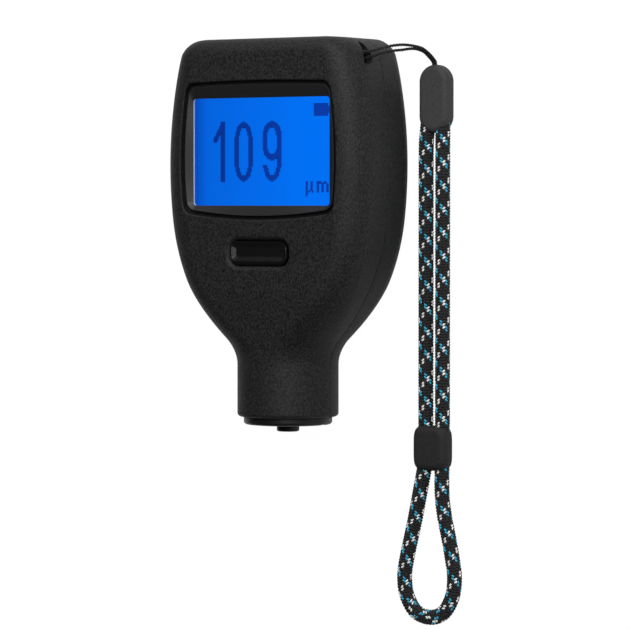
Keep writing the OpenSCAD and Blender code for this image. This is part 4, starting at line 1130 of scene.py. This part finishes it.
def cells(low, high, test):
    """Middles of the cells between two corners that pass a test."""
    places = []
    for i in range(int((high[0] - low[0]) / CELL)):
        for j in range(int((high[1] - low[1]) / CELL)):
            x, y = low[0] + (i + 0.5) * CELL, low[1] + (j + 0.5) * CELL
            if test(x, y):
                places.append((x, y))
    return places


dark_cells = []
figure_low, figure_high = (-FIGURE_CELLS_X, -FIGURE_CELLS_Y), (FIGURE_CELLS_X, FIGURE_CELLS_Y)
for middle, kind in FIGURES:
    for x, y in cells(figure_low, figure_high, lambda x, y: in_figure(kind, x, y)):
        dark_cells.append((middle + x, FIGURE_Y + y))
print("figures:", len(dark_cells), "dark cells")

# %% [markdown]
# A plain block with a stub stands for the battery. The unit is two small letters, written out cell by cell
# like the character patterns of a simple display.

# %% Battery block, unit and cells
MARK_Z, MARK_T = 25.33, 0.04
CELL_SHOWN = 0.94
BATTERY_X, BATTERY_Y, STUB_X, STUB_HALF = 17.5, 31.75, 1.98, 0.8
BATTERY_LOW, BATTERY_HIGH = (-2.34, -1.62), (2.35, 1.62)
UNIT_TOP, MICRO_LEFT, METRE_LEFT = 13.6, 12.9, 16.2
MICRO = ["1100110"] * 6 + ["1101110", "1111011", "1100000", "1100000", "1000000"]
METRE = ["1111001100", "1111111110"] + ["1100110011"] * 6

for x, y in cells(BATTERY_LOW, BATTERY_HIGH, lambda x, y: x < STUB_X or abs(y) < STUB_HALF):
    dark_cells.append((BATTERY_X + x, BATTERY_Y + y))
for letter, left in ((MICRO, MICRO_LEFT), (METRE, METRE_LEFT)):
    for j, line in enumerate(letter):
        for i, mark in enumerate(line):
            if mark == "1":
                dark_cells.append((left + i * CELL, UNIT_TOP - j * CELL))

marks, sizes = start_tree("display_cells", ["Cell", "Thickness"])
cell_size = add(marks, "ShaderNodeCombineXYZ", {
    "X": sizes["Cell"], "Y": sizes["Cell"], "Z": sizes["Thickness"],
})
cell = add(marks, "GeometryNodeMeshCube", {"Size": cell_size})
laid = add(marks, "GeometryNodeInstanceOnPoints", {"Points": sizes["Geometry"], "Instance": cell})
end_tree(marks, add(marks, "GeometryNodeSetMaterial", {"Geometry": laid, "Material": lit_dark}))

mark_points = bmesh.new()
for x, y in dark_cells:
    mark_points.verts.new((x, y, MARK_Z))
display_marks = run_tree(draw("display_marks", mark_points), marks, {
    "Cell": CELL_SHOWN * CELL, "Thickness": MARK_T,
})
settle(display_marks, "housing", lit_dark)

# %% [markdown]
# ## The key
# One key lies under the display: a polished cap with a rounded rim and a shallow dish, a little above its
# middle. It is lofted from round-cornered rings, from the flange that keeps it in, over the rim and down
# into the dish.

# %% Key
KEY_TOP = 27.9
KEY_LOW, KEY_SHOULDER, KEY_FLANGE = 24.9, 25.7, 1.8
DISH_W, DISH_H, DISH_R, DISH_UP = 16.6, 4.9, 1.1, 0.4
DISH_RINGS = [(-0.25, 1, -0.05), (-2.2, 0.5, -0.65), (-2.5, 0.45, -0.71), (-3.2, 0.3, -0.72)]
RIM = 0.7

key_rings = []
for out, z in [(KEY_FLANGE, KEY_LOW), (KEY_FLANGE, KEY_SHOULDER), (0, KEY_SHOULDER)]:
    key_rings.append((KEY_W + out, KEY_H + out, KEY_R, 0, z))
for c, s in quarter((0, 0), 1, 0, 90, 8):
    key_rings.append((
        DISH_W + c * (KEY_W - DISH_W), DISH_H + c * (KEY_H - DISH_H), DISH_R + c * (KEY_R - DISH_R),
        (1 - c) * DISH_UP, KEY_TOP - RIM * (1 - s),
    ))
for out, r, z in DISH_RINGS:
    key_rings.append((DISH_W + out, DISH_H + out, r, DISH_UP, KEY_TOP + z))
key = draw("button_cap_dressed", loft(
    [[(x, KEY_Y + up + y, z) for x, y in rounded(w, h, r, 12)] for w, h, r, up, z in key_rings]))
settle(key, "key", key_abs, ["button_cap"])

# %% [markdown]
# ## The probe end
# A turned collar closes the tube. A shallow V groove across its face seats it on round bars, and the probe
# tip stands out through its middle. Turned parts are spun from a profile of radius and Y.

# %% Collar
Y_FACE, Y_STOP, Y_GUIDE = -48.6, -47.2, -35.9
RING_R, SPIGOT_R, POCKET_R, HOLE_R = 11.4, 10.85, 8.55, 2.98
CHAMBER_R, GUIDE_WALL = 6, 1.5
COLLAR_EDGE, GAP, GAP_IN, SPIGOT_LEN, POCKET_FLOOR = 0.8, 0.3, 0.35, 8, 1
VEE = [(-0.1, -1.4), (-0.1, 1.4), (0.55, 0.25), (0.65, 0), (0.55, -0.25)]
VEE_REACH = 13


def turned(profile, sides=96):
    """A solid turned round the probe axis from a closed profile of radius and Y pairs."""
    rings = []
    for k in range(sides):
        c, s = math.cos(math.tau * k / sides), math.sin(math.tau * k / sides)
        rings.append([(r * c, y, MID_Z + r * s) for r, y in profile])
    return loft(rings, capped=False)


guide_r = CHAMBER_R + GUIDE_WALL
spigot_end, pocket_end = Y_LIP + SPIGOT_LEN, Y_LIP + POCKET_FLOOR
collar_profile = [(HOLE_R, Y_FACE)]
collar_profile += quarter((RING_R - COLLAR_EDGE, Y_FACE + COLLAR_EDGE), COLLAR_EDGE, -90, 0, 10)
collar_profile += [(RING_R, Y_LIP - GAP), (RING_R - GAP_IN, Y_LIP - GAP), (RING_R - GAP_IN, Y_LIP)]
collar_profile += [(SPIGOT_R, Y_LIP), (SPIGOT_R, spigot_end), (POCKET_R, spigot_end), (POCKET_R, pocket_end)]
collar_profile += [(guide_r, pocket_end), (guide_r, Y_GUIDE), (CHAMBER_R, Y_GUIDE), (CHAMBER_R, Y_STOP)]
collar_profile += [(HOLE_R, Y_STOP)]
collar = draw("nose_ring_dressed", turned(collar_profile, 128))
vee = loft([[(x, Y_FACE + y, MID_Z + z) for y, z in VEE] for x in (-VEE_REACH, VEE_REACH)])
collar = combine(collar, draw("vee", vee), "DIFFERENCE")
settle(collar, "housing", trim_abs, ["nose_ring"])

# %% Probe tip
Y_TIP, Y_SLEEVE = -50.5, -34.3
TIP_R, FLANGE_R, SLEEVE_R, BORE_R = 2.9, 5.7, 2.45, 1.25
TIP_EDGE, TIP_WALL, FLANGE_T, STOP_GAP = 0.5, 0.8, 2, 0.02

flange_low = Y_STOP + STOP_GAP
flange_high = flange_low + FLANGE_T
tip_profile = [(BORE_R, Y_TIP), *quarter((TIP_R - TIP_EDGE, Y_TIP + TIP_EDGE), TIP_EDGE, -90, 0, 8)]
tip_profile += [(TIP_R, flange_low), (FLANGE_R, flange_low), (FLANGE_R, flange_high), (TIP_R, flange_high)]
tip_profile += [(TIP_R, Y_SLEEVE), (SLEEVE_R, Y_SLEEVE)]
tip_profile += [(SLEEVE_R, Y_TIP + TIP_WALL), (BORE_R, Y_TIP + TIP_WALL)]
settle(draw("probe_tip_dressed", turned(tip_profile)), "probe", bezel_abs, ["probe_plunger"])

# %% [markdown]
# ## Clip and slider
# The clip is two moulded halves that hold the cord ends, and the slider is a bead with two holes that runs
# on the cord. Both are soft pebbles: outlines that shrink as they rise, with the cord holes cut through them.

# %% Clip
CLIP_X, CLIP_W, CLIP_Y0, CLIP_Y1, CLIP_R = 37.4, 8.7, 26, 43.3, 4.3
CLIP_EDGE, CLIP_GAP = 1.6, 0.02
CORD_HOLE_R, CORD_HOLE_END = 2, 30.2
LOOP_HOLE_R, LOOP_HOLE_END = 0.4, 40.3
clip_mid = (CLIP_Y0 + CLIP_Y1) / 2


def pebble(name, middle, rings):
    return draw(name, loft([[(middle + x, y, z) for x, y in points] for points, z in rings]))


def cord_holes(r, y0, y1, places):
    return [rod(r, (x, y0, STRAP_Z), (x, y1, STRAP_Z)) for x in places]


def clip_rings(up):
    """Rings of a clip half, from the parting face outwards."""
    straight_part = STRAP_Z - CLIP_EDGE - CLIP_GAP
    edge = [(x - CLIP_EDGE, straight_part + y) for x, y in quarter((0, 0), CLIP_EDGE, 0, 90, 10)]
    rings = []
    for out, z in [(0, 0)] + edge:
        shape = rounded(CLIP_W + 2 * out, CLIP_Y1 - CLIP_Y0 + 2 * out, CLIP_R + out, 12)
        rings.append(([(x, clip_mid + y) for x, y in shape], STRAP_Z + up * (z + CLIP_GAP)))
    return rings


for name, up in (("strap_clip_front", 1), ("strap_clip_back", -1)):
    half = pebble(name + "_dressed", CLIP_X, clip_rings(up))
    holes = cord_holes(CORD_HOLE_R, CLIP_Y0 - 1, CORD_HOLE_END, (CORD_ROUTE[0][0], CORD_ROUTE[-1][0]))
    holes += cord_holes(LOOP_HOLE_R, LOOP_HOLE_END, CLIP_Y1 + 1, (LOOP_ROUTE[-1][0], LOOP_ROUTE[0][0]))
    for hole in holes:
        half = combine(half, draw("hole", hole), "DIFFERENCE")
    settle(half, "housing", clip_abs, [name])

# %% Slider
SLIDER_X, SLIDER_Y, SLIDER_W, SLIDER_H, SLIDER_T = 36.6, -54.1, 9.9, 11.5, 5.2
SLIDER_EDGE, SLIDER_POWER = 1.8, 4.6
SLIDER_HOLE_R, SLIDER_HOLE_REACH = 2.02, 9


def bowed(w, h, power, steps=96):
    """A curve between an ellipse and a rectangle."""
    points = []
    for k in range(steps):
        c, s = math.cos(math.tau * (k + 0.5) / steps), math.sin(math.tau * (k + 0.5) / steps)
        x = math.copysign(abs(c) ** (2 / power), c) * w / 2
        y = math.copysign(abs(s) ** (2 / power), s) * h / 2
        points.append((x, y))
    return points


upper = quarter((-SLIDER_EDGE, SLIDER_T / 2 - SLIDER_EDGE), SLIDER_EDGE, 0, 90, 10)
slider_rings = []
for out, z in [(x, -z) for x, z in reversed(upper)] + upper:
    shape = bowed(SLIDER_W + 2 * out, SLIDER_H + 2 * out, SLIDER_POWER)
    slider_rings.append(([(x, SLIDER_Y + y) for x, y in shape], SLIDER_T / 2 + z))
slider = pebble("strap_slider_dressed", SLIDER_X, slider_rings)
hole_ends = (SLIDER_Y - SLIDER_HOLE_REACH, SLIDER_Y + SLIDER_HOLE_REACH)
for hole in cord_holes(SLIDER_HOLE_R, *hole_ends, (left_x, right_x)):
    slider = combine(slider, draw("hole", hole), "DIFFERENCE")
settle(slider, "slider", slider_abs, ["strap_slider"])

# %% [markdown]
# ## The cords
# The two cords are soft in the physical model. Both are drawn above, and only their names are printed here.

print("cords declared:", thin_loop.name, wrist_cord.name)

# %% [markdown]
# ## Parts behind the cover
# Most CAD nodes inside the housing keep their shape, and only need the look of their material. Their grain
# is drawn at a few tenths of a millimetre, coarser than it is, so that the surface isn't of one even tone.

# %% Materials of the inner parts


def metal(name, dark, light, rough, grain):
    made, tree = start_material(name)
    field = grain_field(tree, grain)
    shader = add(tree, "ShaderNodeBsdfPrincipled", {
        "Base Color": add(tree, "ShaderNodeValToRGB", {"Fac": field}, ((DARK_AT, dark), (LIGHT_AT, light))),
        "Metallic": 1.0,
        "Roughness": add(tree, "ShaderNodeMapRange", {
            "Value": field, "To Min": rough[0], "To Max": rough[1],
        }),
    })
    add(tree, "ShaderNodeOutputMaterial", {"Surface": shader})
    return made


# Zinc plate is pale and a little cloudy, and drawn spring wire is a darker grey.
steel = metal("steel_zinc_plated", "#a9abad", "#c2c4c6", (0.25, 0.36), 0.4)
spring_steel = metal("spring_steel", "#8d8f92", "#a6a8ab", (0.25, 0.35), 0.3)
# The pole of the probe is lapped, so it mirrors.
pole_iron = metal("polished_iron", "#9c9ea1", "#b0b2b5", (0.12, 0.2), 0.2)
# Enamel makes copper wire redder and less bright.
copper = metal("enamelled_copper", "#9a4a1f", "#b9642c", (0.3, 0.4), 0.2)
# A board has a glossy green lacquer over a glass weave, which shows as lighter patches.
board_green = plastic("glass_epoxy_board", "#0e3a24", "#165236", (0.35, 0.5), 0.8, 0.01, 0.5)
# Chips are dull black epoxy, and the small parts on the board are sandy ceramic.
chip_epoxy = plastic("epoxy_chip", "#121314", "#1c1d1e", (0.5, 0.6), 0.3, 0.01)
ceramic = plastic("ceramic_parts", "#8a7a60", "#a8977a", (0.5, 0.6), 0.3, 0.01)
# Undyed nylon is a warm white, and the diffuser of the backlight a cool one.
nylon = plastic("nylon_white", "#d6d3c8", "#e8e5da", (0.4, 0.5), 0.5, 0.01)
diffuser = plastic("diffuser_white", "#e6e8ea", "#f6f7f8", (0.4, 0.5), 0.5, 0.01)
# Elastomer is matt, acetal is satin, and both are dyed through.
rubber = plastic("elastomer_grey", "#3a3b3d", "#4a4b4d", (0.6, 0.7), 0.4, 0.01)
red_plastic = plastic("acetal_red", "#a01818", "#b82222", (0.35, 0.45), 0.4, 0.01)
# The sheath of the lead is soft grey plastic, and the jacket of a cell is a printed glossy film.
lead_sheath = plastic("lead_sheath_grey", "#55575a", "#6a6c70", (0.4, 0.5), 0.4, 0.01)
cell_jacket = plastic("cell_jacket_blue", "#1d4a78", "#26598c", (0.25, 0.35), 0.6, 0.01, 0.5)
print("materials so far:", len(bpy.data.materials))

# %% Dress the inner parts
INNER = {
    "lcd_glass": lit_blue, "display_lens": acrylic, "backlight": diffuser, "elastomer_strips": rubber,
    "main_board": board_green, "board_parts": ceramic, "controller_chip": chip_epoxy, "radio_module": steel,
    "board_connector": nylon, "tact_switch": chip_epoxy, "switch_plunger": red_plastic,
    "probe_core": pole_iron, "probe_coil": copper, "probe_cap": trim_abs, "probe_lead": lead_sheath,
    "battery_1": cell_jacket, "battery_2": cell_jacket, "contact_bridge": spring_steel,
    "contact_positive": spring_steel, "contact_negative": spring_steel,
    "case_screws": steel, "board_screws": steel,
}
for node, material in INNER.items():
    piece = bpy.data.objects[node]
    piece.data.materials.clear()
    piece.data.materials.append(material)
print("inner parts dressed:", len(INNER))

# %% [markdown]
# The spring behind the tip gets shorter as the tip is pressed in. A copy of its CAD mesh, with its doubled
# points merged, takes its place unchanged in length.

# %% Spring behind the tip
MERGE = 0.001

coil = bmesh.new()
coil.from_mesh(bpy.data.objects["probe_spring"].data)
bmesh.ops.remove_doubles(coil, verts=coil.verts, dist=MERGE * MM)
spring = draw("probe_spring_dressed", coil)
settle(spring, "housing", spring_steel, ["probe_spring"], in_mm=False)
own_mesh(spring)

# %% [markdown]
# ## Floor and light
# The gauge lies on a white table. The floor is plain white to the camera and in part to mirror-like
# reflections, which gives the white background of the photo, and an ordinary pale surface to all other
# light, so it keeps a soft shadow. It is far larger than the part, and is drawn in metres.

# %% Floor
FLOOR_SIZE, FLOOR_Z = 4, -0.0004
CLOUD = 40
SHOWN_WHITE, MIRRORED_WHITE, WHITE_GLOW = 0.96, 0.25, 1.03

floor_white, tree = start_material("white_table")
cloud = grain_field(tree, CLOUD)
tone = add(tree, "ShaderNodeValToRGB", {"Fac": cloud}, ((DARK_AT, "#f4f4f4"), (LIGHT_AT, "#f8f8f8")))
paper = add(tree, "ShaderNodeBsdfDiffuse", {"Color": tone})
glow = add(tree, "ShaderNodeEmission", {"Color": linear("#ffffff"), "Strength": WHITE_GLOW})
path = add(tree, "ShaderNodeLightPath").outputs
seen = add(tree, MATH, {0: path["Is Camera Ray"], 1: path["Is Transmission Ray"]}, operation="MAXIMUM")
shown = add(tree, MATH, {0: seen, 1: SHOWN_WHITE}, operation="MULTIPLY")
mirrored = add(tree, MATH, {0: path["Is Glossy Ray"], 1: MIRRORED_WHITE}, operation="MULTIPLY")
share = add(tree, MATH, {0: shown, 1: mirrored}, operation="MAXIMUM")
table = add(tree, "ShaderNodeMixShader", {0: share, 1: paper, 2: glow})
add(tree, "ShaderNodeOutputMaterial", {"Surface": table})

floor_bm = bmesh.new()
bmesh.ops.create_grid(floor_bm, x_segments=1, y_segments=1, size=FLOOR_SIZE)
floor = draw("floor", floor_bm)
floor.data.materials.append(floor_white)
floor.location.z = FLOOR_Z
print("floor:", 2 * FLOOR_SIZE, "m wide")

# %% Surroundings
DIM, BRIGHT = 0.06, 1.0

world = bpy.data.worlds.new("studio")
scene.world = world
world.use_nodes = True
tree = world.node_tree
tree.nodes.clear()
dim = add(tree, "ShaderNodeBackground", {"Color": linear("#ffffff"), "Strength": DIM})
bright = add(tree, "ShaderNodeBackground", {"Color": linear("#ffffff"), "Strength": BRIGHT})
camera_ray = add(tree, "ShaderNodeLightPath").outputs["Is Camera Ray"]
both = add(tree, "ShaderNodeMixShader", {0: camera_ray, 1: dim, 2: bright})
add(tree, "ShaderNodeOutputWorld", {"Surface": both})
print("world:", world.name)

# %% [markdown]
# Three soft lights do the work. The main one stands beside the camera, a narrow one to its right draws thin
# lines on polished edges, and a weaker one beyond the top end lifts the upper edges.

# %% Lights


def softbox(name, place, aim, size, power):
    lamp = bpy.data.lights.new(name, "AREA")
    lamp.shape = "RECTANGLE"
    lamp.size, lamp.size_y = size[0] * MM, size[1] * MM
    lamp.energy = power
    made = bpy.data.objects.new(name, lamp)
    scene.collection.objects.link(made)
    made.location = Vector(place) * MM
    made.rotation_euler = (Vector(place) - Vector(aim)).to_track_quat("Z", "Y").to_euler()


softbox("key_light", (350, 300, 730), (0, 0, 14), (440, 360), 5.2)
softbox("side_light", (700, 60, 420), (0, 0, 14), (80, 500), 0.5)
softbox("top_light", (-20, 560, 420), (0, 30, 14), (500, 200), 2.2)
scene.view_settings.view_transform = "Standard"
